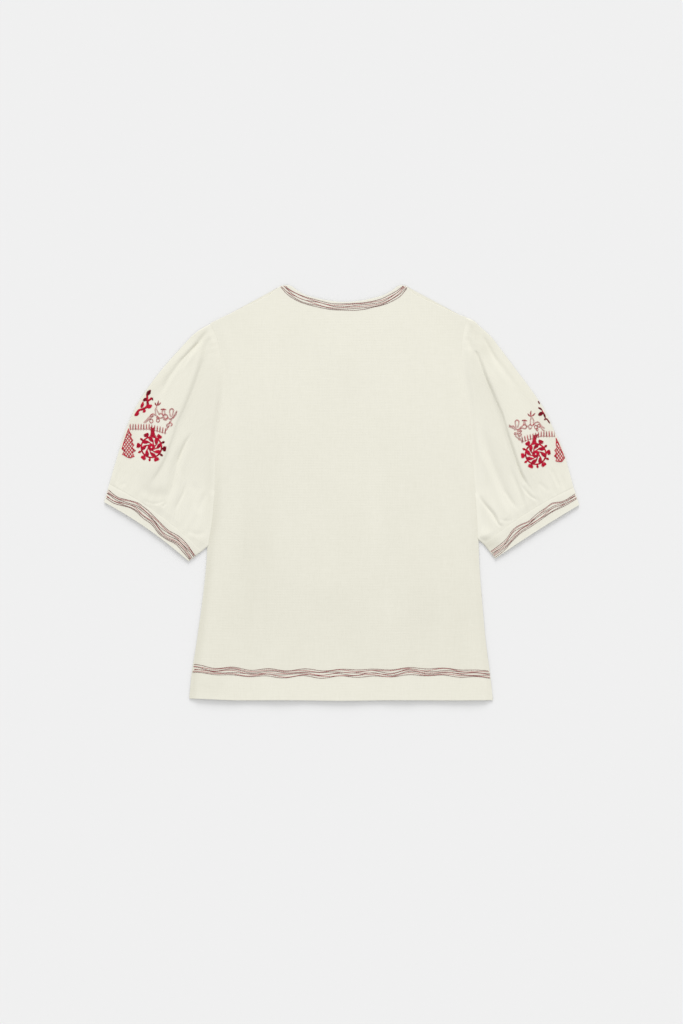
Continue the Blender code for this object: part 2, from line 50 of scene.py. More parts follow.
def smoothThrough(stations, values, places):
    stations, values = np.asarray(stations, float), np.asarray(values, float)
    places = np.clip(np.asarray(places, float), stations[0], stations[-1])
    slopes = np.gradient(values, stations)
    span = np.clip(np.searchsorted(stations, places) - 1, 0, len(stations) - 2)
    width = stations[span + 1] - stations[span]
    f = (places - stations[span]) / width
    return ((2 * f**3 - 3 * f**2 + 1) * values[span] + (f**3 - 2 * f**2 + f) * width * slopes[span]
            + (3 * f**2 - 2 * f**3) * values[span + 1] + (f**3 - f**2) * width * slopes[span + 1])


def runLengths(line):
    return np.concatenate([[0.0], np.cumsum(np.linalg.norm(np.diff(line, axis=0), axis=1))])


def smoothLine(points, shares):
    points = np.asarray(points, float)
    run = runLengths(points)
    at = np.asarray(shares, float) * run[-1]
    return np.column_stack([smoothThrough(run, points[:, k], at) for k in range(points.shape[1])])


def bowedLine(start, end, bow, towards, shares):
    start, end = np.asarray(start, float), np.asarray(end, float)
    shares = np.asarray(shares, float)[:, None]
    across = np.array([-(end - start)[1], (end - start)[0]])
    across /= np.linalg.norm(across)
    if across @ (np.asarray(towards, float) - start) < 0:
        across = -across
    return start + (end - start) * shares + across * bow * 4 * shares * (1 - shares)


def distanceTo(lines, places):
    # Distance from lines, the side it lies on and the share run along them
    flat = places.reshape(-1, 2)
    start = np.vstack([line[:-1] for line in lines])
    step = np.vstack([np.diff(line, axis=0) for line in lines])
    length = np.linalg.norm(step, axis=1)
    far = np.full(len(flat), 1e9)
    hand, share = np.zeros(len(flat)), np.zeros(len(flat))
    run = np.concatenate([[0.0], np.cumsum(length)])
    for k in range(len(start)):
        offset = flat - start[k]
        along = np.clip(offset @ step[k] / length[k]**2, 0, 1)
        apart = np.linalg.norm(offset - along[:, None] * step[k], axis=1)
        near = apart < far
        far[near] = apart[near]
        turn = step[k, 0] * offset[:, 1] - step[k, 1] * offset[:, 0]
        hand[near] = -np.sign(turn[near])
        share[near] = (run[k] + along[near] * length[k]) / run[-1]
    shape = places.shape[:-1]
    return far.reshape(shape), hand.reshape(shape), share.reshape(shape)


def coonsPatch(firstRow, lastRow, firstColumn, lastColumn, u, v):
    u, v = u[:, None, None], v[None, :, None]
    rows = (1 - u) * firstRow[None] + u * lastRow[None]
    columns = (1 - v) * firstColumn[:, None] + v * lastColumn[:, None]
    corners = ((1 - u) * (1 - v) * firstRow[0] + (1 - u) * v * firstRow[-1]
               + u * (1 - v) * lastRow[0] + u * v * lastRow[-1])
    return rows + columns - corners


def roundedShare(far, radius):
    near = 1 - np.clip(far / radius, 0, 1)
    return np.sqrt(np.clip(1 - near**2, 0, 1))


def easing(share):
    share = np.clip(share, 0, 1)
    return share * share * (3 - 2 * share)


def softEnds(share, starts, ends):
    return easing(share / starts) * easing((1 - share) / ends)


def bell(far, wide):
    return np.exp(-(far / wide)**2)


def rising(far, reach):
    return 1 - np.exp(-far / reach)


def crests(turns):
    # Waves from 0 in a trough to 1 on a crest
    return 0.5 - 0.5 * np.cos(2 * np.pi * turns)


def leftOf(line):
    # Steps of unit length to the left of a line, at each of its points
    step = np.gradient(line, axis=0)
    step /= np.linalg.norm(step, axis=1)[:, None]
    return np.column_stack([-step[:, 1], step[:, 0]])


def offsetLine(line, offset):
    # Moves each point of a line to its left by its own offset
    return line + leftOf(line) * np.asarray(offset)[:, None]


def mirrored(half, shift=0.0):
    # A line from its half at the picture's right, which starts in the middle
    return [(shift - p.x, p.y) for p in reversed(half[1:])] + [(shift + p.x, p.y) for p in half]


# A crease: its route, the half width and depth of its trough, the height of the bank of cloth
# beside it, and the shares of the route over which it starts and ends. The bank lies at the
# picture's left of a route that runs down, or at its right where the height is below zero.
Crease = namedtuple("Crease", "route wide deep bank starts ends", defaults=(0.3, 0.3))
# A pleat: cloth that steps down across its route from the high side, -1 left or 1 right
Pleat = namedtuple("Pleat", "route rise edge reach side starts ends")


def finely(route, count=25):
    return smoothLine(route, np.linspace(0, 1, count))


def creaseRelief(creases, places):
    relief = np.zeros(places.shape[:-1])
    for crease in creases:
        far, hand, share = distanceTo([finely(crease.route)], places)
        strength = softEnds(share, crease.starts, crease.ends)
        relief -= crease.deep * bell(far, crease.wide) * strength
        beside = bell(far - 1.7 * crease.wide, crease.wide)
        relief += abs(crease.bank) * beside * strength * (hand * np.sign(crease.bank) > 0)
    return relief


def pleatRelief(pleats, places):
    relief = np.zeros(places.shape[:-1])
    for pleat in pleats:
        far, hand, share = distanceTo([finely(pleat.route)], places)
        inside = -pleat.side * hand * far       # how far towards the high side
        step = easing((inside + pleat.edge) / (2 * pleat.edge))
        fall = bell(np.maximum(inside - pleat.edge, 0), pleat.reach)
        relief += pleat.rise * step * fall * softEnds(share, pleat.starts, pleat.ends)
    return relief


# Cloth

clothShell = {
    "wall": 0.5,
    "edgeRadius": 1.4,      # folded edge of a sleeve or cuff
    "lowest": 1.0,          # middle of the layer that lies on the floor
    "seamRoll": 4.0,        # a seam pulls the cloth beside it down
    "cuffRoll": 11.0,       # a sleeve comes down to its band over this length
    "seamLap": 1.6,         # the sleeve goes this far under the body's edge
    "tuck": 0.7,            # and this far down there
    "mergeWithin": 0.001,
    "sharpFrom": 50,        # angle in degrees
}


def paintShadeOn(piece, paintedShadeAt):
    # Paints shade on each vertex as a share of the cotton's shade colour, from its place in millimetres; a
    # share below zero paints light
    mesh = piece.data
    places = np.empty(3 * len(mesh.vertices))
    mesh.vertices.foreach_get("co", places)
    layer = mesh.attributes.new("shade", "FLOAT", "POINT")
    layer.data.foreach_set("value", paintedShadeAt(places.reshape(-1, 3)[:, :2] / mm).astype(np.float32))


def shellFromGrids(name, grids, wall, uvGrids):
    # Joins grids of points into one mesh; vertices that share a place are merged
    mesh = bpy.data.meshes.new(name)
    bm = bmesh.new()
    uvLayer = bm.loops.layers.uv.new("weave")
    for grid, uv in zip(grids, uvGrids):
        rows, columns = grid.shape[:2]
        verts = [[bm.verts.new(grid[i, j] * mm) for j in range(columns)] for i in range(rows)]
        for i in range(rows - 1):
            for j in range(columns - 1):
                corners = [(i, j), (i, j + 1), (i + 1, j + 1), (i + 1, j)]
                face = bm.faces.new([verts[a][b] for a, b in corners])
                face.smooth = True
                for loop, (a, b) in zip(face.loops, corners):
                    loop[uvLayer].uv = uv[a, b] * mm
    bmesh.ops.remove_doubles(bm, verts=bm.verts[:], dist=clothShell["mergeWithin"] * mm)
    bmesh.ops.recalc_face_normals(bm, faces=bm.faces[:])
    bm.to_mesh(mesh)
    bm.free()
    piece = bpy.data.objects.new(name, mesh)
    bpy.context.collection.objects.link(piece)
    solidify = piece.modifiers.new("wall", "SOLIDIFY")
    solidify.thickness = wall * mm
    solidify.offset = 0
    applyModifiers(piece)
    piece.data.set_sharp_from_angle(angle=math.radians(clothShell["sharpFrom"]))
    return piece


def applyModifiers(piece):
    evaluated = piece.evaluated_get(bpy.context.evaluated_depsgraph_get())
    mesh = bpy.data.meshes.new_from_object(evaluated)
    piece.modifiers.clear()
    old = piece.data
    piece.data = mesh
    mesh.name = piece.name
    bpy.data.meshes.remove(old)


def surfaceOf(piece):
    mesh = piece.data
    return BVHTree.FromPolygons(
        [v.co for v in mesh.vertices], [tuple(p.vertices) for p in mesh.polygons])


def layOn(surface, x, y, fromBelow=False):
    # Point and normal of a piece's outside, straight over or under a place
    towards = Vector((0, 0, 1 if fromBelow else -1))
    point, normal, _, _ = surface.ray_cast(Vector((x * mm, y * mm, 0)) - towards, towards)
    if point is None:
        return None, None
    return point, normal if normal.dot(towards) < 0 else -normal


# Materials

def addNode(tree, kind, inputs=None, **settings):
    # A node with its settings; each input is given a value or linked from a socket
    node = tree.nodes.new(kind)
    for name, value in settings.items():
        setattr(node, name, value)
    for key, value in (inputs or {}).items():
        if isinstance(value, bpy.types.NodeSocket):
            tree.links.new(value, node.inputs[key])
        else:
            node.inputs[key].default_value = value
    return node


def mathNode(tree, operation, a, b):
    return addNode(tree, "ShaderNodeMath", {0: a, 1: b}, operation=operation).outputs[0]


finish = {"sheenRoughness": 0.6, "specular": 0.12}


def principled(name, look):
    material = bpy.data.materials.new(name)
    material.use_nodes = True
    shader = material.node_tree.nodes["Principled BSDF"]
    shader.inputs["Base Color"].default_value = (*look["colour"], 1)
    shader.inputs["Roughness"].default_value = look["roughness"]
    shader.inputs["Sheen Weight"].default_value = look["sheen"]
    shader.inputs["Sheen Roughness"].default_value = finish["sheenRoughness"]
    shader.inputs["Specular IOR Level"].default_value = finish["specular"]
    material.diffuse_color = (*look["colour"], 1)
    return material, material.node_tree, shader


cottonLook = {
    "colour": (0.785, 0.768, 0.673),
    # the darker colour that slubs and patches mix towards, and painted shade too
    "shade": (0.716, 0.699, 0.604),
    "roughness": 0.9,
    "sheen": 0.12,
    "weaveScale": 75,
    "slub": 0.38,
    "slubFrom": 0.75,
    "slubTo": 1.30,
    "patches": 0.3,
    "bands": 0.3,
    "bump": 0.2,
    "bumpHeight": 0.0003,
}


def makeCotton(name, look, source):
    material, tree, shader = principled(name, look)
    if source == "UV":
        where = addNode(tree, "ShaderNodeUVMap", uv_map="weave").outputs["UV"]
    else:
        where = addNode(tree, "ShaderNodeTexCoord").outputs["Object"]

    def noise(stretch, detail):
        mapping = addNode(tree, "ShaderNodeMapping", {"Vector": where, "Scale": stretch})
        return addNode(tree, "ShaderNodeTexNoise", {
            "Vector": mapping.outputs["Vector"], "Scale": 1, "Detail": detail, "Roughness": 0.5,
        }).outputs["Fac"]

    def threadsAlong(axis):
        return addNode(tree, "ShaderNodeTexWave", {"Vector": where, "Scale": look["weaveScale"]},
                       wave_type="BANDS", bands_direction=axis).outputs["Fac"]

    def overMean(value, mean, strength):
        return mathNode(tree, "MULTIPLY", mathNode(tree, "SUBTRACT", value, mean), strength)

    weft = noise((60, 620, 620), 3)             # slubs along X
    warp = noise((620, 60, 620), 3)             # and along Y
    patchy = noise((14, 9, 9), 3)               # broad, faint patches
    bands = noise((24, 2.5, 9), 2)              # and long soft bands
    slubs = mathNode(tree, "ADD", weft, warp)
    slubTone = addNode(tree, "ShaderNodeMapRange", {
        "Value": slubs, "From Min": look["slubFrom"], "From Max": look["slubTo"],
        "To Min": 0.0, "To Max": look["slub"]}).outputs["Result"]
    tone = mathNode(tree, "ADD", slubTone, overMean(patchy, 0.25, look["patches"]))
    if source == "Object":
        tone = mathNode(tree, "ADD", tone, overMean(bands, 0.5, look["bands"]))
    # Painted shade read from each vertex darkens the cotton towards its shade colour, and paints light
    # where it is below zero
    paintedShadeFac = addNode(tree, "ShaderNodeAttribute", attribute_name="shade")
    tone = mathNode(tree, "MAXIMUM", mathNode(tree, "ADD", tone, paintedShadeFac.outputs["Fac"]), 0.0)
    mix = addNode(tree, "ShaderNodeMix", data_type="RGBA", clamp_factor=False)
    mix.inputs["A"].default_value = (*look["colour"], 1)
    mix.inputs["B"].default_value = (*look["shade"], 1)
    tree.links.new(tone, mix.inputs["Factor"])
    tree.links.new(mix.outputs["Result"], shader.inputs["Base Color"])

    weave = mathNode(tree, "MULTIPLY", threadsAlong("X"), threadsAlong("Y"))
    bump = addNode(tree, "ShaderNodeBump", {
        "Strength": look["bump"], "Distance": look["bumpHeight"],
        "Height": mathNode(tree, "ADD", weave, slubs)})
    tree.links.new(bump.outputs["Normal"], shader.inputs["Normal"])
    return material


threadLooks = {
    "crimson": {"colour": (0.500, 0.010, 0.040), "roughness": 0.75, "sheen": 0.0},
    "wine": {"colour": (0.190, 0.003, 0.014), "roughness": 0.75, "sheen": 0.0},
    "maroon": {"colour": (0.150, 0.024, 0.028), "roughness": 0.8, "sheen": 0.0},
    "rose": {"colour": (0.440, 0.105, 0.115), "roughness": 0.8, "sheen": 0.0},
}


def makeThread(name, look):
    # Each stitch carries its own tone, a little lighter or darker
    material, tree, shader = principled(name, look)
    tone = addNode(tree, "ShaderNodeAttribute", attribute_name="tone").outputs["Fac"]
    hue = addNode(tree, "ShaderNodeHueSaturation", {"Value": tone, "Color": (*look["colour"], 1)})
    tree.links.new(hue.outputs["Color"], shader.inputs["Base Color"])
    return material


bodyCotton = makeCotton("body_cotton", cottonLook, "Object")
sleeveCotton = makeCotton("sleeve_cotton", cottonLook, "UV")
threads = {name: makeThread(name + "_thread", look) for name, look in threadLooks.items()}
print("materials made")


# Stitches: threads that arch over the cloth, one for each point of a mesh

stitchLook = {"sides": 4, "steps": 5, "lift": 0.45, "ends": 0.45, "body": 0.97, "toneSpread": 0.10}


def stitchTree():
    tree = bpy.data.node_groups.new("stitches", "GeometryNodeTree")
    for label, kind, value in (
            ("Points", "Geometry", None), ("Lift", "Float", stitchLook["lift"]),
            ("Tone Spread", "Float", stitchLook["toneSpread"]), ("Sides", "Int", stitchLook["sides"]),
            ("Steps", "Int", stitchLook["steps"]), ("Seed", "Int", seed), ("Thread", "Material", None)):
        socket = tree.interface.new_socket(label, in_out="INPUT", socket_type="NodeSocket" + kind)
        if value is not None:
            socket.default_value = value
    tree.interface.new_socket("Stitches", in_out="OUTPUT", socket_type="NodeSocketGeometry")
    start, end = addNode(tree, "NodeGroupInput"), addNode(tree, "NodeGroupOutput")

    def attribute(name, kind="FLOAT"):
        node = addNode(tree, "GeometryNodeInputNamedAttribute", {"Name": name}, data_type=kind)
        return node.outputs["Attribute"]

    # One thread of unit length along X, thinner where it enters the cloth
    crest = mathNode(tree, "MULTIPLY", start.outputs["Lift"], 2)
    middle = addNode(tree, "ShaderNodeCombineXYZ", {"Z": crest})
    arch = addNode(tree, "GeometryNodeCurveQuadraticBezier", {
        "Start": (-0.5, 0, 0), "Middle": middle.outputs[0], "End": (0.5, 0, 0),
        "Resolution": start.outputs["Steps"]})
    along = addNode(tree, "GeometryNodeSplineParameter")
    taper = addNode(tree, "ShaderNodeFloatCurve", {"Value": along.outputs["Factor"]})
    curve = taper.mapping.curves[0]
    thin, full = stitchLook["ends"], stitchLook["body"]
    curve.points[0].location, curve.points[1].location = (0, thin), (1, thin)
    curve.points.new(0.25, full)
    curve.points.new(0.75, full)
    taper.mapping.update()
    radius = addNode(tree, "GeometryNodeSetCurveRadius", {
        "Curve": arch.outputs["Curve"], "Radius": taper.outputs["Value"]})
    ring = addNode(tree, "GeometryNodeCurvePrimitiveCircle", {
        "Radius": 0.5, "Resolution": start.outputs["Sides"]})
    thread = addNode(tree, "GeometryNodeCurveToMesh", {
        "Curve": radius.outputs["Curve"], "Profile Curve": ring.outputs["Curve"], "Fill Caps": True})
    smooth = addNode(tree, "GeometryNodeSetShadeSmooth", {"Geometry": thread.outputs["Mesh"]})

    # Stood on each point: Z off the cloth, X along the stitch
    upright = addNode(tree, "FunctionNodeAlignRotationToVector", {
        "Vector": attribute("up", "FLOAT_VECTOR")}, axis="Z")
    turned = addNode(tree, "FunctionNodeAlignRotationToVector", {
        "Rotation": upright.outputs["Rotation"], "Vector": attribute("along", "FLOAT_VECTOR")},
        axis="X", pivot_axis="Z")
    thick = attribute("thick")
    size = addNode(tree, "ShaderNodeCombineXYZ", {"X": attribute("span"), "Y": thick, "Z": thick})
    points = addNode(tree, "GeometryNodeMeshToPoints", {"Mesh": start.outputs["Points"]})
    placed = addNode(tree, "GeometryNodeInstanceOnPoints", {
        "Points": points.outputs["Points"], "Instance": smooth.outputs["Geometry"],
        "Rotation": turned.outputs["Rotation"], "Scale": size.outputs[0]})
    spread = addNode(tree, "FunctionNodeRandomValue", data_type="FLOAT")
    randomIn = {s.identifier: s for s in spread.inputs}
    randomOut = {s.identifier: s for s in spread.outputs}
    for operation, limit in (("SUBTRACT", "Min_001"), ("ADD", "Max_001")):
        tree.links.new(mathNode(tree, operation, 1, start.outputs["Tone Spread"]), randomIn[limit])
    tree.links.new(start.outputs["Seed"], randomIn["Seed"])
    toned = addNode(tree, "GeometryNodeStoreNamedAttribute", {
        "Geometry": placed.outputs["Instances"], "Name": "tone"}, domain="INSTANCE", data_type="FLOAT")
    tone = mathNode(tree, "MULTIPLY", randomOut["Value_001"], attribute("dye"))
    tree.links.new(tone, toned.inputs["Value"])
    whole = addNode(tree, "GeometryNodeRealizeInstances", {"Geometry": toned.outputs["Geometry"]})
    dyed = addNode(tree, "GeometryNodeSetMaterial", {
        "Geometry": whole.outputs["Geometry"], "Material": start.outputs["Thread"]})
    tree.links.new(dyed.outputs["Geometry"], end.inputs["Stitches"])
    return tree


stitches = stitchTree()
Stitch = namedtuple("Stitch", "middle along up span thick dye", defaults=(1.0,))


stitchValues = {
    "along": "FLOAT_VECTOR", "up": "FLOAT_VECTOR", "span": "FLOAT", "thick": "FLOAT", "dye": "FLOAT",
}


def sewPiece(name, rows, thread):
    # rows are Stitches in metres
    mesh = bpy.data.meshes.new(name)
    mesh.from_pydata([row.middle for row in rows], [], [])
    for label, kind in stitchValues.items():
        layer = mesh.attributes.new(label, kind, "POINT")
        values = np.array([getattr(row, label) for row in rows], np.float32).ravel()
        layer.data.foreach_set("vector" if kind == "FLOAT_VECTOR" else "value", values)
    piece = bpy.data.objects.new(name, mesh)
    bpy.context.collection.objects.link(piece)
    modifier = piece.modifiers.new("stitches", "NODES")
    modifier.node_group = stitches
    sockets = {s.name: s.identifier for s in stitches.interface.items_tree if s.in_out == "INPUT"}
    modifier[sockets["Thread"]] = thread
    applyModifiers(piece)
    for label in stitchValues:
        if label in piece.data.attributes:
            piece.data.attributes.remove(piece.data.attributes[label])
    print(name, len(rows), "stitches,", len(piece.data.polygons), "faces")
    return piece


def stitchOn(surface, a, b, thick, sink, fromBelow=False):
    # One stitch from place a to place b of a surface, sunk a share of its thickness into the cloth
    startPoint, startUp = layOn(surface, *a, fromBelow)
    endPoint, endUp = layOn(surface, *b, fromBelow)
    if startPoint is None or endPoint is None:
        return None
    up = (startUp + endUp).normalized()
    along = endPoint - startPoint
    if not 0.00001 <= along.length <= 0.02:
        return None
    middle = (startPoint + endPoint) / 2 - up * sink * thick * mm
    return Stitch(middle, along.normalized(), up, along.length, thick * mm)


seamHeight = {
    "arm": 1.96,
    "bodyOver": 0.03,       # the body's edge lies level with the sleeves at their seams
    "bandDip": 0.25,
}

# The body's two panels

Side = namedtuple("Side", "y left right")
body = {
    "sides": [
        Side(274, -212.0, 198.0), Side(250, -201.0, 193.0), Side(225, -194.5, 191.5),
        Side(195, -190.5, 194.0),
        Side(165, -190.5, 199.0), Side(135, -194.0, 203.0), Side(105, -198.0, 205.5),
        Side(70, -201.5, 208.5),
        Side(20, -204.0, 212.5), Side(-15, -206.0, 215.0), Side(-50, -209.5, 217.5),
        Side(-84, -215.0, 218.5),
        Side(-110, -216.6, 219.4), Side(-170, -222.9, 223.8), Side(-235, -231.9, 229.7),
        Side(-300, -241.6, 238.0), Side(-333, -244.6, 241.4)],
    "neck": [Place(0, 304.7), Place(22, 306.4), Place(44, 310.8), Place(66, 317.4), Place(77, 323.9),
             Place(87, 330.9)],
    "shoulders": {
        "left": [Place(98, 330.2), Place(107, 324.2), Place(114, 317.6), Place(129, 309.8),
                 Place(156, 297.2), Place(186, 282.8)],
        "right": [Place(102, 330.4), Place(108, 324.8), Place(115, 318.2), Place(129, 311.0),
                  Place(156, 298.6), Place(182, 286.4)]},
    "frontNeck": [Place(0, 204), Place(32, 208), Place(62, 226), Place(85, 260), Place(96, 298),
                  Place(100, 331)],
    "neckShift": 4.4,
    "tips": {"left": 271.0, "right": 281.0},
    "underarm": {"left": -84.0, "right": -73.0},
    "hem": -330.9,
    "hemCorner": 2.6,       # the left corner lies higher, over this share of the hem
    "hemCornerShare": 0.18,
    "hemDip": 0.8,
    "rows": 200,
    "columns": 150,
    "top": 2.5,             # outside of the back over the table, where it lies flattest
    "hemTurn": 38.0,        # cloth turned under at the hem
    "neckTurn": 7.0,
    "turnDrop": 0.75,
    "turnOut": 0.3,
    "hemRise": 1.0,         # the doubled hem stands a little off the table
    "hemRiseReach": 60.0,
    "middleRise": 1.0,      # and the middle lies looser than the sides
    "middleReach": (9.0, 40.0),     # from the sides and from the top
    "sideReach": 8.0,
    "wall": 0.45,
    "waves": 5,             # soft waves at the hem
    "waveHeight": 0.9,
    "waveReach": 60.0,
    "puckerDepth": 0.45,
    "puckerAt": -316.0,
    "puckerReach": 22.0,
}
frontLook = {
    "rows": 90,
    "columns": 80,
    "level": 1.1,
    "edgeRise": 0.1,
    "edgeReach": 2.2,
    "tipDrop": 1.5,         # it stays hidden under the back's shoulders
    "hemShort": 4.0,        # and over its hem
    "corner": 0.13,         # share of the columns that each shoulder takes
    "wall": 0.5,
}
Swell = namedtuple("Swell", "x y wide long turn height")
backSwells = [
    Swell(-150, 150, 30, 90, 6, 1.1), Swell(150, 160, 28, 85, -8, 1.1), Swell(-70, 60, 34, 120, 10, 0.7),
    Swell(62, 20, 30, 130, -7, 0.8), Swell(8, 190, 16, 60, 2, 0.5), Swell(-120, -110, 42, 80, -14, 0.7),
    Swell(120, -120, 38, 90, 12, 0.7), Swell(10, -180, 40, 90, 4, 0.6),
]
backCreases = [
    Crease([(-172, 268), (-168, 210), (-170, 150)], 9, 0.35, 0.2),
    Crease([(-176, 60), (-184, -20), (-196, -110)], 12, 0.5, 0.3),
    Crease([(176, 70), (186, -30), (200, -150)], 12, 0.5, -0.3),
    Crease([(-92, -120), (-88, -200), (-98, -260)], 16, 0.5, 0.2),
    Crease([(196, -120), (206, -190), (214, -260)], 8, 0.6, -0.3),
    Crease([(-36, 40), (-30, -60), (-34, -170)], 18, 0.4, 0.2),
    Crease([(88, -60), (92, -150), (84, -220)], 18, 0.4, -0.2),
]
Pucker = namedtuple("Pucker", "x wide")
hemPuckers = [Pucker(-196, 5), Pucker(-150, 7), Pucker(-62, 6), Pucker(-8, 8), Pucker(64, 5),
              Pucker(122, 7), Pucker(188, 6)]


hemEnds = (-246.0, 243.0)


def sideLine(side, heights):
    stations = [row.y for row in reversed(body["sides"])]
    values = [getattr(row, side) for row in reversed(body["sides"])]
    return np.column_stack([smoothThrough(stations, values, heights), heights])


def upperEdge(count):
    left, right = (sideLine(side, [body["tips"][side]])[0] for side in ("left", "right"))
    shoulders = body["shoulders"]
    points = ([tuple(left)] + [(-p.x, p.y) for p in reversed(shoulders["left"])]
              + mirrored(body["neck"], body["neckShift"])
              + [(p.x, p.y) for p in shoulders["right"]] + [tuple(right)])
    return finely(points, count)


def hemLine(left, right, shares):
    line = left + (right - left) * shares[:, None]
    line[:, 1] = right[1] + (left[1] - right[1]) * (1 - easing(shares / body["hemCornerShare"]))
    line[:, 1] -= body["hemDip"] * np.sin(np.pi * shares) * (1 + np.sin(5 * np.pi * shares)) / 2
    return line


def backPlan(rows, columns):
    top = upperEdge(columns)
    v = (top[:, 0] - top[0, 0]) / (top[-1, 0] - top[0, 0])
    u = np.linspace(0, 1, rows)
    hem = body["hem"]
    left = sideLine("left", body["tips"]["left"] + (hem + body["hemCorner"] - body["tips"]["left"]) * u)
    right = sideLine("right", body["tips"]["right"] + (hem - body["tips"]["right"]) * u)
    return coonsPatch(top, hemLine(left[-1], right[-1], v), left, right, u, v)


def backHeight(places):
    x, y = places[..., 0], places[..., 1]
    height = np.full(x.shape, body["top"])
    for swell in backSwells:
        turn = math.radians(swell.turn)
        across = (x - swell.x) * math.cos(turn) + (y - swell.y) * math.sin(turn)
        along = (y - swell.y) * math.cos(turn) - (x - swell.x) * math.sin(turn)
        height += swell.height * bell(across, swell.wide) * bell(along, swell.long)
    waves = crests(body["waves"] * (x - hemEnds[0]) / (hemEnds[1] - hemEnds[0]))
    height += body["waveHeight"] * waves * np.exp((body["hem"] - y) / body["waveReach"])
    height += body["hemRise"] * bell(y - body["hem"], body["hemRiseReach"])
    height += creaseRelief(backCreases, places)
    for pucker in hemPuckers:
        height -= (body["puckerDepth"] * bell(x - pucker.x, pucker.wide)
                   * bell(y - body["puckerAt"], body["puckerReach"]))
    return height


# Painted shade in soft spots, as shares of the cotton's shade; a share below zero paints light
PaintedShadeSpot = namedtuple("PaintedShadeSpot", "x y wide long share")
# Painted shade and painted light over the back's soft folds and swells
backPaintedSpots = [
    PaintedShadeSpot(-147, -90, 28, 130, 0.30), PaintedShadeSpot(195, -215, 14, 90, 0.15), PaintedShadeSpot(-218, -308, 30, 16, 0.45),
    PaintedShadeSpot(-200, -5, 8, 70, 0.3), PaintedShadeSpot(-20, -175, 45, 28, 0.20), PaintedShadeSpot(-140, 245, 35, 30, 0.15),
    PaintedShadeSpot(55, -45, 14, 70, -0.25), PaintedShadeSpot(150, 120, 18, 50, -0.15), PaintedShadeSpot(172, 270, 26, 30, 0.2),
    PaintedShadeSpot(10, 195, 22, 30, 0.12), PaintedShadeSpot(-118, -80, 12, 110, 0.18), PaintedShadeSpot(-165, -10, 12, 60, -0.15),
    PaintedShadeSpot(-175, 280, 30, 26, 0.15), PaintedShadeSpot(130, -200, 40, 40, 0.15), PaintedShadeSpot(-60, -235, 30, 40, 0.12),
    PaintedShadeSpot(70, -180, 10, 22, -0.15),
]
# Painted shade down the back: darker towards the bottom, where the light falls off, and lighter again over
# the doubled hem, which lets less show through
paintedFalloffAndHemTone = [(-333, 0.18), (-298, 0.18), (-284, 0.50), (-200, 0.47), (-60, 0.30), (60, 0.20), (200, 0.02),
             (310, -0.02)]
# Painted shade along the side edges, where the cloth rolls under, from some way above the middle downwards
paintedSideShade = {"left": 0.85, "right": 0.25, "at": 3.5, "wide": 7.0, "from": 80.0, "reach": 160.0}


# Painted shade summed over the spots
def paintedSpotShade(spots, places):
    x, y = places[:, 0], places[:, 1]
    return sum(spot.share * bell(x - spot.x, spot.wide) * bell(y - spot.y, spot.long) for spot in spots)


# Painted shade and light over the back panel
def backPaintedShade(places):
    x, y = places[:, 0], places[:, 1]
    shade = np.interp(y, *zip(*paintedFalloffAndHemTone)) + paintedSpotShade(backPaintedSpots, places)
    lower = easing((paintedSideShade["from"] - y) / paintedSideShade["reach"])
    for side, sign in (("left", 1), ("right", -1)):
        inside = sign * (x - sideLine(side, y)[:, 0])
        shade += paintedSideShade[side] * lower * bell(inside - paintedSideShade["at"], paintedSideShade["wide"])
    return shade


def makeBack():
    plan = backPlan(body["rows"], body["columns"])
    height = backHeight(plan)
    toSide = distanceTo([plan[:, 0], plan[:, -1]], plan)[0]
    toTop = distanceTo([plan[0]], plan)[0]
    fromSide, fromTop = body["middleReach"]
    height += body["middleRise"] * (1 - bell(toSide, fromSide)) * (1 - bell(toTop, fromTop))
    level = seamHeight["arm"] + seamHeight["bodyOver"]
    height = level + (height - level) * (1 - bell(toSide, body["sideReach"]))
    # The neck, the shoulders and the hem are turned under
    drop, out, outward = body["turnDrop"], body["turnOut"], leftOf(plan[0])

    def turned(line, lineHeight, share=1.0):
        return np.column_stack([line, lineHeight - drop * share])

    upperTurn = [turned(plan[0] - outward * body["neckTurn"] * share, height[0])
                 for share in (1.0, 0.6, 0.25, 0.06)]
    upperTurn.append(turned(plan[0] + outward * out, height[0], 0.5))
    hemTurn = [turned(plan[-1] - (0, out), height[-1], 0.5)]
    rowPitch = (plan[0, 0, 1] - plan[-1, 0, 1]) / (body["rows"] - 1)
    for k in range(1 + int(body["hemTurn"] / rowPitch)):
        hemTurn.append(turned(plan[-1 - k], height[-1 - k]))
    whole = np.concatenate([upperTurn, np.dstack([plan, height]), hemTurn])
    piece = shellFromGrids("back_panel", [whole], body["wall"], [whole[..., :2]])
    piece.data.materials.append(bodyCotton)
    # Painted shade and light on the back
    paintShadeOn(piece, backPaintedShade)
    return piece


def makeFront():
    # Under the back: the same cut with a deeper neckline
    look = frontLook
    neck = mirrored(body["frontNeck"], body["neckShift"] / 2)
    u, v = np.linspace(0, 1, look["rows"]), np.linspace(0, 1, look["columns"])
    left, right = (sideLine(side, body["tips"][side] + (body["hem"] - body["tips"][side]) * u)
                   for side in ("left", "right"))
    for side in (left, right):
        side[0, 1] -= look["tipDrop"]
        side[-1, 1] += look["hemShort"]
    inner = finely(neck, int(look["columns"] * (1 - 2 * look["corner"])))
    ends = (look["columns"] - len(inner)) // 2
    first = np.linspace(left[0], inner[0], ends + 1)[:-1]
    last = np.linspace(inner[-1], right[0], look["columns"] - len(inner) - ends + 1)[1:]
    top = np.vstack([first, inner, last])
    plan = coonsPatch(top, hemLine(left[-1], right[-1], v), left, right, u, v)
    toSide = distanceTo([left, right], plan)[0]
    height = look["level"] + look["edgeRise"] * bell(toSide, look["edgeReach"])
    piece = shellFromGrids("front_panel", [np.dstack([plan, height])], look["wall"], [plan])
    piece.data.materials.append(bodyCotton)
    return piece


backPanel = makeBack()
frontPanel = makeFront()
print("body panels made:", len(backPanel.data.polygons), len(frontPanel.data.polygons))


# The sleeves

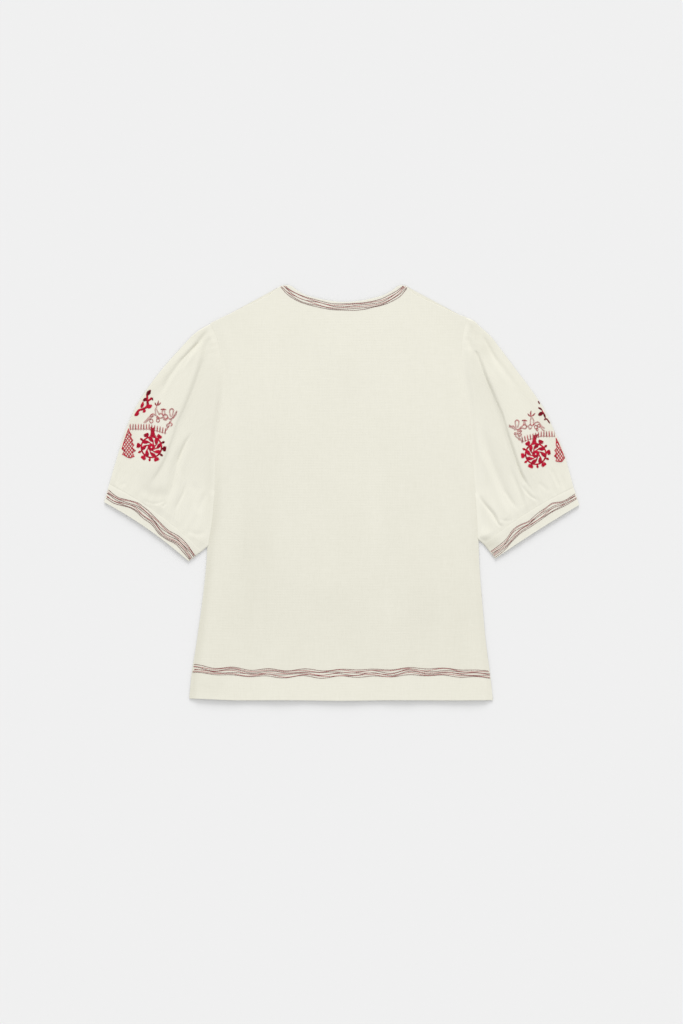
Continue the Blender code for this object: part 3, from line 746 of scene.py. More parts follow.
sleeveCut = {
    "puff": 8.4,
    "puffReach": 60.0,
    "roomReach": 6.0,
    "armShare": 0.16,
    "armReach": 26.0,
    "cuffShare": 0.42,
    "cuffReach": 50.0,
    "cuffGathers": 11,
    "cuffGatherHeight": 0.7,
    "cuffGatherReach": 20.0,
    "capGathers": 5,
    "capPitch": 12.0,
    "capHeight": 0.5,
    "capReach": 26.0,
    "foldShare": 1.28,
    "mainFrom": 0.30,       # folds fade where the sleeve has less of its swelling than this
    "fineFrom": 0.15,
    "armRoll": 11.0,
    "armEnds": {"left": 6.0, "right": 4.0},     # the armhole ends this far down, the body's side goes on
    "rows": 120,
    "columns": 150,
    "edgeSteps": (0.0008, 0.0024, 0.0050, 0.0085, 0.014),
}
sleeveShapes = {
    "left": {
        "fold": [Place(-230, 259), Place(-261, 228), Place(-289, 196), Place(-313, 164), Place(-332, 132),
                 Place(-346, 100), Place(-356, 68), Place(-364.5, 40)],
        "seamFold": (-372, 14), "seamArm": (-224.5, -93), "mouthArm": (-245.4, -109.0),
        "mouthFold": (-380.3, -14.7), "seamBow": 7.5, "mouthBow": 5.0,
    },
    "right": {
        "fold": [Place(209, 276), Place(222, 264.5), Place(236, 252), Place(255, 228), Place(279, 196),
                 Place(303, 164), Place(324, 132), Place(339, 100), Place(353.3, 68), Place(362.8, 36)],
        "seamFold": (370.3, 8.5), "seamArm": (227, -82), "mouthArm": (245.2, -104.6),
        "mouthFold": (379.1, -19.2), "seamBow": 6.0, "mouthBow": 1.5,
    },
}
# Where one side of a fold stands over the other
pleats = {
    "left": [
        Pleat([(-216, 246), (-219, 231), (-223, 212), (-229, 196), (-235, 178), (-243, 157), (-253, 135),
               (-261, 118), (-270, 90), (-277, 70), (-288, 45), (-302, 23), (-318, 3)],
               1.2, 2.2, 26, -1, 0.12, 0.2),
        Pleat([(-215, 248), (-227, 196), (-243, 155), (-259, 118), (-275, 76), (-294, 38), (-318, 3)],
              1.6, 7.0, 30, -1, 0.15, 0.2),
        Pleat([(-215, 262), (-224, 249), (-243, 227), (-262, 207), (-273, 193), (-281, 180), (-287, 164),
               (-291, 151)], 1.0, 1.6, 60, -1, 0.04, 0.3),
        Pleat([(-238, 100), (-251, 79), (-259, 63), (-264.5, 44), (-270, 25), (-274, 4), (-280, -12)],
              0.9, 1.8, 20, -1, 0.35, 0.25),
    ],
    "right": [
        Pleat([(214.4, 226.4), (219.7, 212), (230.4, 185), (238.4, 167), (246.4, 148), (255.5, 129),
               (264.8, 97.3),
               (274, 68), (282, 44), (290, 25.3), (301, 9.3), (311.5, -4)], 1.9, 1.1, 26, 1, 0.24, 0.2),
        Pleat([(206, 262), (216, 228), (229, 190), (247, 145), (263, 98), (273, 66), (287, 30), (306, 2)],
              2.2, 6.5, 40, 1, 0.35, 0.3),
        Pleat([(285, 17), (295.5, 1.3), (309, -9.3), (317, -12)], 0.5, 1.3, 8, 1, 0.2, 0.3),
        Pleat([(214, 4), (226, -14.7), (242, -33.3), (253, -52), (262, -57)], 0.8, 1.6, 16, 1, 0.2, 0.2),
        Pleat([(216, -71), (232, -76), (248, -71)], 1.8, 1.5, 14, 1, 0.15, 0.35),
    ],
}
mainFolds = {
    "left": [
        Crease([(-215, 261), (-224, 249), (-243, 227), (-262, 207), (-273, 193), (-281, 180), (-287, 164),
                (-291, 151)],
               4.5, 1.3, -0.5, 0.03, 0.2),
        Crease([(-322, 12), (-306, -1), (-288, -2), (-276, 4)], 9, 0.8, 0.0, 0.3, 0.3),
        Crease([(-238, 100), (-256, 70), (-267, 41), (-276, 1), (-283, -20)], 6, 1.7, -0.5, 0.4, 0.25),
        Crease([(-356, 52), (-362, 10)], 4, 1.0, 0.0),
    ],
    "right": [
        Crease([(225, 252), (232, 239), (244, 217), (260, 196), (273, 177), (284, 164)],
               5, 1.0, 0.3, 0.1, 0.35),
        Crease([(227, 120), (231.5, 76), (245, 36), (258, 6.7), (274, -25), (282, -36)],
               7, 1.4, 0.5, 0.3, 0.2),
        Crease([(268, 50), (274, 25), (282, 6), (290, -20), (292, -31)], 4, 0.8, -0.5, 0.3, 0.25),
        Crease([(214, 4), (234, -25), (254, -52)], 4, 1.0, 0.4, 0.2, 0.25),
    ],
}
# Finer creases over them, placed from the photo
fineCreases = {
    "left": [
        Crease([(-214, 262), (-224, 249), (-243, 227), (-262, 207), (-273, 193)],
               1.9, 1.1, -0.2, 0.03, 0.5),
        Crease([(-227, 245), (-243, 220), (-254, 203), (-262, 190)], 2.4, 0.9, -0.2, 0.2, 0.4),
        Crease([(-216, 247), (-220, 228), (-229, 196), (-243, 157), (-259, 120)], 3.4, 0.9, 0.4, 0.08, 0.5),
        Crease([(-213, 250), (-212, 231), (-216, 206)], 3.0, 0.6, 0.3, 0.1, 0.4),
        Crease([(-238, 100), (-251, 79), (-262, 52), (-266, 38)], 2.2, 0.8, -0.2, 0.35, 0.3),
        Crease([(-248, 20), (-254, -1), (-262, -17), (-267, -33)], 2.4, 0.7, 0.1),
        Crease([(-262, 40), (-259, 22), (-266, -8), (-271, -28)], 4.0, -0.4, 0.0),
        Crease([(-320, -9), (-310, -15), (-297, -17), (-286, -14), (-278, -12)], 2.0, 0.4, 0.1, 0.25, 0.25),
        Crease([(-288, -23), (-280, -15)], 2.2, 0.5, 0.1),
        Crease([(-355, 40), (-359, 27), (-362, 9)], 2.4, 0.8, 0.2),
        Crease([(-357, 9), (-350, 14), (-343, 15)], 2.6, 0.4, 0.1),
        Crease([(-213, 6), (-222, -12), (-231, -35)], 5.0, 0.6, 0.3),
        Crease([(-248, -60), (-232, -66), (-214, -62)], 4.0, 0.4, 0.1),
        Crease([(-238, 20), (-232, -4), (-238, -30)], 6.0, 0.5, 0.3),
    ],
    "right": [
        Crease([(214, 227), (220, 212), (238, 167), (248, 145), (258, 121)], 1.9, 1.3, -0.1, 0.03, 0.6),
        Crease([(264, 100), (274, 68), (282, 44), (290, 25), (301, 9)], 1.9, 0.9, -0.2, 0.4, 0.3),
        Crease([(197, 276), (205, 265), (203.5, 244), (208, 220)], 3.6, 1.7, -0.3, 0.1, 0.4),
        Crease([(225, 252), (232, 239), (244, 217), (256, 200)], 2.2, 0.7, 0.3, 0.15, 0.4),
        Crease([(257, 9), (269, -10), (282, -28)], 3.0, 0.5, 0.3),
        Crease([(285, 17), (295.5, 1.3), (309, -9.3), (317, -12)], 2.2, 0.7, 0.2),
        Crease([(312, 17), (322, 10), (333, 1)], 3.0, 0.4, 0.0, 0.2, 0.2),
        Crease([(335, 39), (343, 20), (349, 7)], 2.6, 0.5, 0.2, 0.2, 0.2),
        Crease([(351, 31), (355, 5)], 2.6, 0.5, 0.2),
        Crease([(214, 4), (226, -15), (242, -33), (253, -52), (262, -57)], 2.2, 1.0, 0.1, 0.2, 0.2),
        Crease([(250, -41), (265, -45), (277, -42)], 2.8, 0.4, 0.1),
        Crease([(243, -64), (254, -68)], 2.6, 0.5, 0.1),
        Crease([(216, -71), (232, -76), (246, -71)], 3.0, 1.4, 0.2, 0.15, 0.3),
    ],
}


# Painted shade in soft spots on the sleeves, deepest at the right underarm; painted light where the share
# is below zero
sleevePaintedSpots = {
    "left": [PaintedShadeSpot(-226, 235, 12, 22, 0.25), PaintedShadeSpot(-300, -5, 22, 14, 0.40), PaintedShadeSpot(-228, -78, 20, 9, 0.40),
             PaintedShadeSpot(-366, 10, 9, 10, 0.5), PaintedShadeSpot(-211, -5, 8, 70, 0.5)],
    "right": [PaintedShadeSpot(229, 228, 9, 10, 0.5), PaintedShadeSpot(226, -77, 14, 8, 1.3), PaintedShadeSpot(222, 75, 14, 55, -0.30),
              PaintedShadeSpot(222, -22, 12, 28, 0.45), PaintedShadeSpot(258, -60, 16, 9, 0.25), PaintedShadeSpot(368, 2, 9, 9, 0.5)],
}
# Painted shade on the bands near the underarms
cuffPaintedSpots = {"left": [PaintedShadeSpot(-240, -100, 9, 9, 0.6)], "right": [PaintedShadeSpot(235, -82, 17, 10, 1.5)]}
# Painted shade on the sleeves, darker towards their tops
paintedSleeveShadeUpwards = [(-110, -0.08), (-20, -0.06), (60, 0.16), (150, 0.34), (280, 0.36)]
# Painted shade over the lit rims of the sleeves' folded edges and a band inside them, and painted light
# along the armholes
paintedRimShadeAndArmLight = {
    "rim": 0.5, "rimWide": 1.8, "share": 0.30, "at": 10.0, "wide": 8.0, "from": 20.0, "reach": 80.0,
    "arm": {"left": -0.2, "right": -0.7}, "armWide": 9.0,
}


# Painted shade and light on a sleeve, from each vertex's place
def sleevePaintedShade(side):
    shape, tone = sleeveShapes[side], paintedRimShadeAndArmLight
    fold = finely(list(shape["fold"]) + [shape["seamFold"]], 60)

    def paintedShadeAt(places):
        x, y = places[:, 0], places[:, 1]
        shade = np.interp(y, *zip(*paintedSleeveShadeUpwards)) + paintedSpotShade(sleevePaintedSpots[side], places)
        toRim = distanceTo([fold], places)[0]
        upper = easing((y - tone["from"]) / tone["reach"])
        shade += upper * (tone["rim"] * bell(toRim, tone["rimWide"])
                          + tone["share"] * bell(toRim - tone["at"], tone["wide"]))
        return shade + tone["arm"][side] * bell(x - sideLine(side, y)[:, 0], tone["armWide"])
    return paintedShadeAt


gatherDrift = [(0.011, 2.3, 0.6), (0.006, 5.1, 0.0)]
band = {
    "puff": 2.5, "reach": 18.0, "puckers": 7, "puckerHeight": 0.15, "width": 27.0, "mouthDrop": 1.4,
    "rows": 12, "columns": 90,
}


def bandHeight(toFold):
    return 2 * clothShell["edgeRadius"] + band["puff"] * rising(toFold, band["reach"])


def evenShares(count, steps):
    inner = np.linspace(0, 1, count + 1)[1:-1]
    inner = inner[(inner > steps[-1] * 1.3) & (inner < 1 - steps[-1] * 1.3)]
    return np.concatenate([[0], steps, inner, 1 - np.array(steps[::-1]), [1]])


def drifting(share, count):
    # Gathers of uneven width
    drift = sum(far * np.sin(2 * np.pi * often * share + start) for far, often, start in gatherDrift)
    return crests(count * (share + drift))


def sleevePlan(side):
    shape, cut = sleeveShapes[side], sleeveCut
    sign = -1 if side == "left" else 1
    tip, pit = body["tips"][side], body["underarm"][side]
    v = evenShares(cut["columns"], cut["edgeSteps"])
    armLine = sideLine(side, tip + (pit - tip) * v) - (sign * clothShell["seamLap"], 0)
    u = np.concatenate([[0, 0.003, 0.008, 0.015], np.linspace(0, 1, cut["rows"] + 1)[2:]])
    foldPoints = [tuple(armLine[0])] + list(shape["fold"]) + [shape["seamFold"]]
    foldEdge = smoothLine(foldPoints, u)
    under = armLine[-1] + (np.array(shape["seamArm"]) - armLine[-1]) * u[:, None]
    seam = bowedLine(shape["seamFold"], shape["seamArm"], shape["seamBow"], armLine[0], v)
    return coonsPatch(armLine, seam, foldEdge, under, u, v), v


def closedEdges(plan, armEnd):
    return [plan[:, 0], np.vstack([plan[0, armEnd:], plan[1:, -1]])]


def sleeveHeight(side, plan, v, armEnd):
    cut = sleeveCut
    toFold = distanceTo(closedEdges(plan, armEnd), plan)[0]
    toArm, _, armShare = distanceTo([plan[0, :armEnd + 1]], plan)
    toCuff = distanceTo([plan[-1]], plan)[0]
    swell = rising(toFold, cut["puffReach"])
    swell *= cut["armShare"] + (1 - cut["armShare"]) * rising(toArm, cut["armReach"])
    swell *= cut["cuffShare"] + (1 - cut["cuffShare"]) * rising(toCuff, cut["cuffReach"])
    height = cut["puff"] * swell
    room = rising(toFold, cut["roomReach"])
    main = creaseRelief(mainFolds[side], plan) * np.minimum(1, swell / cut["mainFrom"])
    fine = creaseRelief(fineCreases[side], plan) + pleatRelief(pleats[side], plan)
    height += cut["foldShare"] * (main + fine * np.minimum(1, swell / cut["fineFrom"]))
    height += (cut["cuffGatherHeight"] * drifting(v[None, :], cut["cuffGathers"])
               * np.exp(-toCuff / cut["cuffGatherReach"]) * room)
    down = armShare * runLengths(plan[0, :armEnd + 1])[-1]
    cap = np.clip(1 - down / (cut["capGathers"] * cut["capPitch"]), 0, 1)
    height += (cut["capHeight"] * crests(down / cut["capPitch"]) * np.sqrt(cap)
               * np.exp(-toArm / cut["capReach"]) * room)
    height = 2 * clothShell["edgeRadius"] + np.maximum(height, 0)
    # Down to the body's edge at the armhole, and to the band at the cuff
    lap, seam = clothShell["seamLap"], seamHeight["arm"]
    valley = seam + (height - seam) * easing((np.maximum(toArm - lap, 0) / cut["armRoll"])**0.8)
    height = valley - clothShell["tuck"] * easing(1 - toArm / lap)
    atBand = bandHeight(toFold) - seamHeight["bandDip"]
    height = atBand + (height - atBand) * easing(toCuff / clothShell["cuffRoll"])**0.7
    return height, toFold


def tubeShell(name, plan, top, toFold, shut, uv):
    radius = clothShell["edgeRadius"]
    far = np.where(shut, 0, toFold)
    rise = roundedShare(far, radius)
    upper = np.dstack([plan, radius + (top - radius) * rise])
    lower = np.dstack([plan, radius - (radius - clothShell["lowest"]) * rise])
    return shellFromGrids(name, [upper, lower], clothShell["wall"], [uv, uv])


def shutEdges(plan):
    shut = np.zeros(plan.shape[:2], bool)
    shut[:, 0] = shut[:, -1] = True
    return shut


def makeSleeve(side):
    plan, v = sleevePlan(side)
    tip, pit = body["tips"][side], body["underarm"][side]
    armEnd = int(np.searchsorted(v, (tip - sleeveCut["armEnds"][side]) / (tip - pit)))
    height, toFold = sleeveHeight(side, plan, v, armEnd)
    shut = shutEdges(plan)
    shut[0, armEnd:] = True
    run = np.array([runLengths(plan[:, j]) for j in range(plan.shape[1])]).T
    width = np.array([runLengths(row) for row in plan])
    uv = np.dstack([width - width[:, -1:] / 2, run])
    # One more row, that goes under the band's edge
    onward = plan[-1] - plan[-2]
    onward *= clothShell["seamLap"] / np.linalg.norm(onward, axis=1)[:, None]
    plan = np.concatenate([plan, [plan[-1] + onward]])
    height = np.concatenate([height, height[-1:] - clothShell["tuck"] * roundedShare(toFold[-1:], 3)])
    toFold, shut = np.concatenate([toFold, toFold[-1:]]), np.concatenate([shut, shut[-1:]])
    uv = np.concatenate([uv, uv[-1:] + (0, clothShell["seamLap"])])
    piece = tubeShell("sleeve_" + side + "_shell", plan, height, toFold, shut, uv)
    piece.data.materials.append(sleeveCotton)
    # Painted shade and light on the sleeve
    paintShadeOn(piece, sleevePaintedShade(side))
    return piece


def bandEdges(side, shares):
    shape = sleeveShapes[side]
    towards = shape["fold"][2]
    return [bowedLine(shape[edge + "Fold"], shape[edge + "Arm"], shape[edge + "Bow"], towards, shares)
            for edge in ("seam", "mouth")]


def bandPlan(side):
    v = evenShares(band["columns"], sleeveCut["edgeSteps"])
    u = np.linspace(0, 1, band["rows"] + 1)
    seam, mouth = bandEdges(side, v)
    first = seam[0] + (mouth[0] - seam[0]) * u[:, None]
    last = seam[-1] + (mouth[-1] - seam[-1]) * u[:, None]
    return coonsPatch(seam, mouth, first, last, u, v), u, v


def makeCuff(side):
    plan, u, v = bandPlan(side)
    toFold = distanceTo([plan[:, 0], plan[:, -1]], plan)[0]
    loose = rising(toFold, band["reach"])
    puckers = band["puckerHeight"] * np.cos(2 * np.pi * band["puckers"] * v[None, :])
    height = bandHeight(toFold) + puckers * loose
    toSeam = u[:, None] * band["width"]
    height -= seamHeight["bandDip"] * (1 - roundedShare(toSeam, clothShell["seamRoll"]))
    height -= band["mouthDrop"] * easing(u[:, None]) * loose
    width = np.array([runLengths(row) for row in plan])
    uv = np.dstack([width, np.repeat(toSeam, plan.shape[1], axis=1)])
    piece = tubeShell("cuff_" + side + "_band", plan, height, toFold, shutEdges(plan), uv)
    piece.data.materials.append(sleeveCotton)
    # Painted shade near the underarm
    paintShadeOn(piece, lambda places: paintedSpotShade(cuffPaintedSpots[side], places))
    return piece


sleeves = {side: makeSleeve(side) for side in ("left", "right")}
cuffs = {side: makeCuff(side) for side in ("left", "right")}
cloth = {
    "back": backPanel, "front": frontPanel,
    "sleeve_left": sleeves["left"], "sleeve_right": sleeves["right"],
    "cuff_left": cuffs["left"], "cuff_right": cuffs["right"],
}
surfaces = {name: surfaceOf(piece) for name, piece in cloth.items()}
print("cloth made, faces:", {name: len(piece.data.polygons) for name, piece in cloth.items()})

# Rows of running stitch: they wave together, cross here and there, and go all round

trimLook = {"thick": 0.76, "dash": 2.3, "gap": 0.9, "shortest": 0.9, "sink": 0.15}


def runningRow(surface, place, length, draws, under=False, finer=1.0):
    look = trimLook
    rows, at = [], draws.uniform(0, look["dash"])
    while at < length - look["shortest"]:
        dash = min(look["dash"] * draws.uniform(0.8, 1.25), length - at)
        thick = look["thick"] * finer * draws.uniform(0.85, 1.1)
        rows.append(stitchOn(surface, place(at), place(at + dash), thick, look["sink"], under))
        at += dash + look["gap"] * draws.uniform(0.6, 1.3)
    return [row for row in rows if row]


def alongLine(line):
    run = runLengths(line)

    def place(at):
        return tuple(np.interp(at, run, line[:, k]) for k in range(2))
    return place, run[-1]


# Rows as (share of the trim's width, thread, own wave, own period, where it starts in its wave)
Row = namedtuple("Row", "share thread wave period start")
hemTrim = {
    "middle": -287.6, "width": 11.2, "wave": 1.3, "period": 56.0, "drift": 0.8, "driftPeriod": 143.0,
    "sideGap": 0.4,
    "course": [(-240, 6.4), (-208, 4.6), (-176, 2.4), (-144, -0.4), (-80, -0.4), (-48, 0.5), (-16, -1.8),
               (16, -0.5),
               (48, -0.4), (80, 1.0), (112, 2.8), (144, 0.5), (176, 0.7), (208, -1.2), (240, -0.8)],
    "rows": [Row(0.00, "maroon", 0.5, 61, 0.3), Row(0.17, "rose", 0.9, 87, 2.1),
             Row(0.34, "maroon", 1.2, 73, 4.0),
             Row(0.52, "rose", 1.2, 97, 0.9), Row(0.66, "maroon", 1.2, 66, 3.1),
             Row(0.84, "rose", 0.9, 79, 5.2), Row(1.00, "maroon", 0.7, 69, 1.6)],
}
neckTrim = {
    # How far in the first row lies, and how wide all are, by the share of the way round
    "inset": [(0, 3.6), (0.05, 4.3), (0.12, 4.2), (0.18, 3.4), (0.26, 2.5), (0.34, 2.1), (0.42, 3.0),
              (0.5, 2.3), (0.58, 2.5), (0.66, 3.6), (0.74, 4.1), (0.82, 2.9), (0.9, 4.2), (1, 3.0)],
    "width": [(0, 5.6), (0.12, 9.0), (0.5, 10.0), (0.88, 9.2), (1, 5.6)],
    "wave": 0.7, "period": 58.0, "reach": 17.0,
    "rows": [Row(0.00, "maroon", 0.4, 71, 0.0), Row(0.18, "rose", 1.2, 92, 2.0),
             Row(0.38, "maroon", 1.3, 64, 4.1),
             Row(0.60, "rose", 1.2, 83, 1.2), Row(0.80, "maroon", 0.9, 59, 3.3),
             Row(1.00, "maroon", 0.5, 77, 5.0)],
}
cuffTrim = {
    "liftTo": 0.7, "mouthGap": 1.2,
    # The trim's upper and lower edges: share of the way round the band's back, mm below its seam
    "left": {
        "finer": 1.12, "lift": 0.8,
        "upper": [(0, 8.6), (0.12, 11.6), (0.23, 6.8), (0.29, 3.9), (0.37, 4.9), (0.49, 7.2), (0.66, 11.2),
                  (0.76, 7.9), (0.86, 8.6), (1, 12.6)],
        "lower": [(0, 21.2), (0.08, 22.0), (0.21, 17.9), (0.27, 15.9), (0.42, 18.6), (0.51, 19.4),
                  (0.60, 23.2), (0.71, 23.3), (0.79, 20.6), (0.87, 21.0), (1, 24.0)]},
    "right": {
        "finer": 0.9, "lift": 0.5,
        "upper": [(0, 9.6), (0.16, 10.7), (0.25, 6.2), (0.32, 7.3), (0.42, 8.9), (0.52, 10.6), (0.62, 8.7),
                  (0.7, 9.2), (0.8, 13.6), (0.89, 15.0), (1, 14.2)],
        "lower": [(0, 17.6), (0.15, 17.8), (0.34, 17.0), (0.46, 18.2), (0.55, 18.9), (0.66, 18.2),
                  (0.75, 20.5), (0.86, 24.6), (1, 25.2)]},
    "rows": [Row(0.00, "maroon", 0.3, 41, 0.0), Row(0.17, "rose", 0.7, 67, 1.0),
             Row(0.34, "maroon", 0.9, 53, 2.6),
             Row(0.51, "maroon", 0.9, 74, 4.4), Row(0.68, "rose", 0.9, 59, 0.6),
             Row(0.84, "maroon", 0.7, 71, 3.4), Row(1.00, "maroon", 0.3, 49, 5.5)],
}


def ownWave(row, run):
    return row.wave * np.sin(2 * np.pi * run / row.period + row.start)


def hemRows(sewn, draws):
    trim = hemTrim
    x = np.linspace(-244, 241, 300)
    common = trim["wave"] * np.sin(2 * np.pi * x / trim["period"] + 2.4)
    common += trim["drift"] * np.sin(2 * np.pi * x / trim["driftPeriod"] + 1)
    common += smoothThrough(*zip(*trim["course"]), x)
    for row in trim["rows"]:
        y = trim["middle"] + trim["width"] * (0.5 - row.share) + common + ownWave(row, x)
        low, high = (sideLine(side, y)[:, 0] for side in ("left", "right"))
        inside = (x > low + trim["sideGap"]) & (x < high - trim["sideGap"])
        place, length = alongLine(np.column_stack([x, y])[inside])
        for panel in ("back", "front"):
            sewn[panel][row.thread] += runningRow(surfaces[panel], place, length, draws, panel == "front")


def neckRows(sewn, draws):
    trim = neckTrim
    for panel, half, shift in (("back", body["neck"], body["neckShift"]),
                               ("front", body["frontNeck"], body["neckShift"] / 2)):
        line = finely(mirrored(half), 200) + (shift, 0)
        first, last = line[0] - line[3], line[-1] - line[-4]
        line = np.vstack([line[0] + first / np.linalg.norm(first) * trim["reach"], line,
                          line[-1] + last / np.linalg.norm(last) * trim["reach"]])
        run = runLengths(line)
        common = trim["wave"] * np.sin(2 * np.pi * run / trim["period"])
        insets, widths = (smoothThrough(*zip(*trim[key]), run / run[-1]) for key in ("inset", "width"))
        for row in trim["rows"]:
            inset = insets + widths * row.share + common * (0.5 + 0.5 * row.share) + ownWave(row, run)
            place, length = alongLine(offsetLine(line, -inset))
            sewn[panel][row.thread] += runningRow(surfaces[panel], place, length, draws, panel == "front")


def cuffRows(side, sewn, draws):
    trim, key = cuffTrim[side], "cuff_" + side
    v = np.linspace(0.004, 0.996, 160)
    seam, mouth = bandEdges(side, v)
    upper, lower = (smoothThrough(*zip(*trim[edge]), v) for edge in ("upper", "lower"))
    lift = trim["lift"] * (1 - easing((v - cuffTrim["liftTo"]) / (1 - cuffTrim["liftTo"])))
    run = runLengths(seam)
    for row in cuffTrim["rows"]:
        down = upper + (lower - upper) * row.share + ownWave(row, run) - lift
        down = np.minimum(down, band["width"] - cuffTrim["mouthGap"])
        place, length = alongLine(seam + (mouth - seam) * (down / band["width"])[:, None])
        for under in (False, True):
            sewn[key][row.thread] += runningRow(surfaces[key], place, length, draws, under, trim["finer"])


# Embroidery of the sleeves. Places are in mm from the rosette's centre, x to the picture's right.

Leaf = namedtuple("Leaf", "route widths")
Ball = namedtuple("Ball", "place radius")
Loop = namedtuple("Loop", "place wide tall")
fill = {
    "thick": 0.62, "pitch": 0.46, "sink": 0.1, "outline": 1.0, "stem": 2.1, "overlap": 0.12,
    "doubleApart": 0.62, "doubleThick": 0.55, "barThick": 0.85, "footThick": 0.7,
    "leafFull": 0.85, "ballFull": 0.92, "dyeSpread": 0.22, "dyeWaves": ((0.42, 1.1), (0.37, 0.4)),
}
lattice = {"pitch": 4.6, "slope": 1.35, "thick": 1.15, "edgeThick": 1.2, "step": 0.5, "shortest": 1.0}
rosette = {
    "hole": 2.3, "eye": 5.5, "ring": 16.4, "ringWidth": 1.6,
    "knobs": [-8, 52, 112, 172, -128, -68], "darkKnob": -8, "knobAt": 21.2, "knob": (5.5, 4.9), "neck": 2.5,
    "beads": [22, 142, -158, -98, -38], "darkBeads": [22, -38], "beadAt": 20.4, "bead": 1.8,
    "petals": [12, 53, 96, 141, 186, -122, -75, -33], "petalAt": 13.2, "petal": 4.0,
}
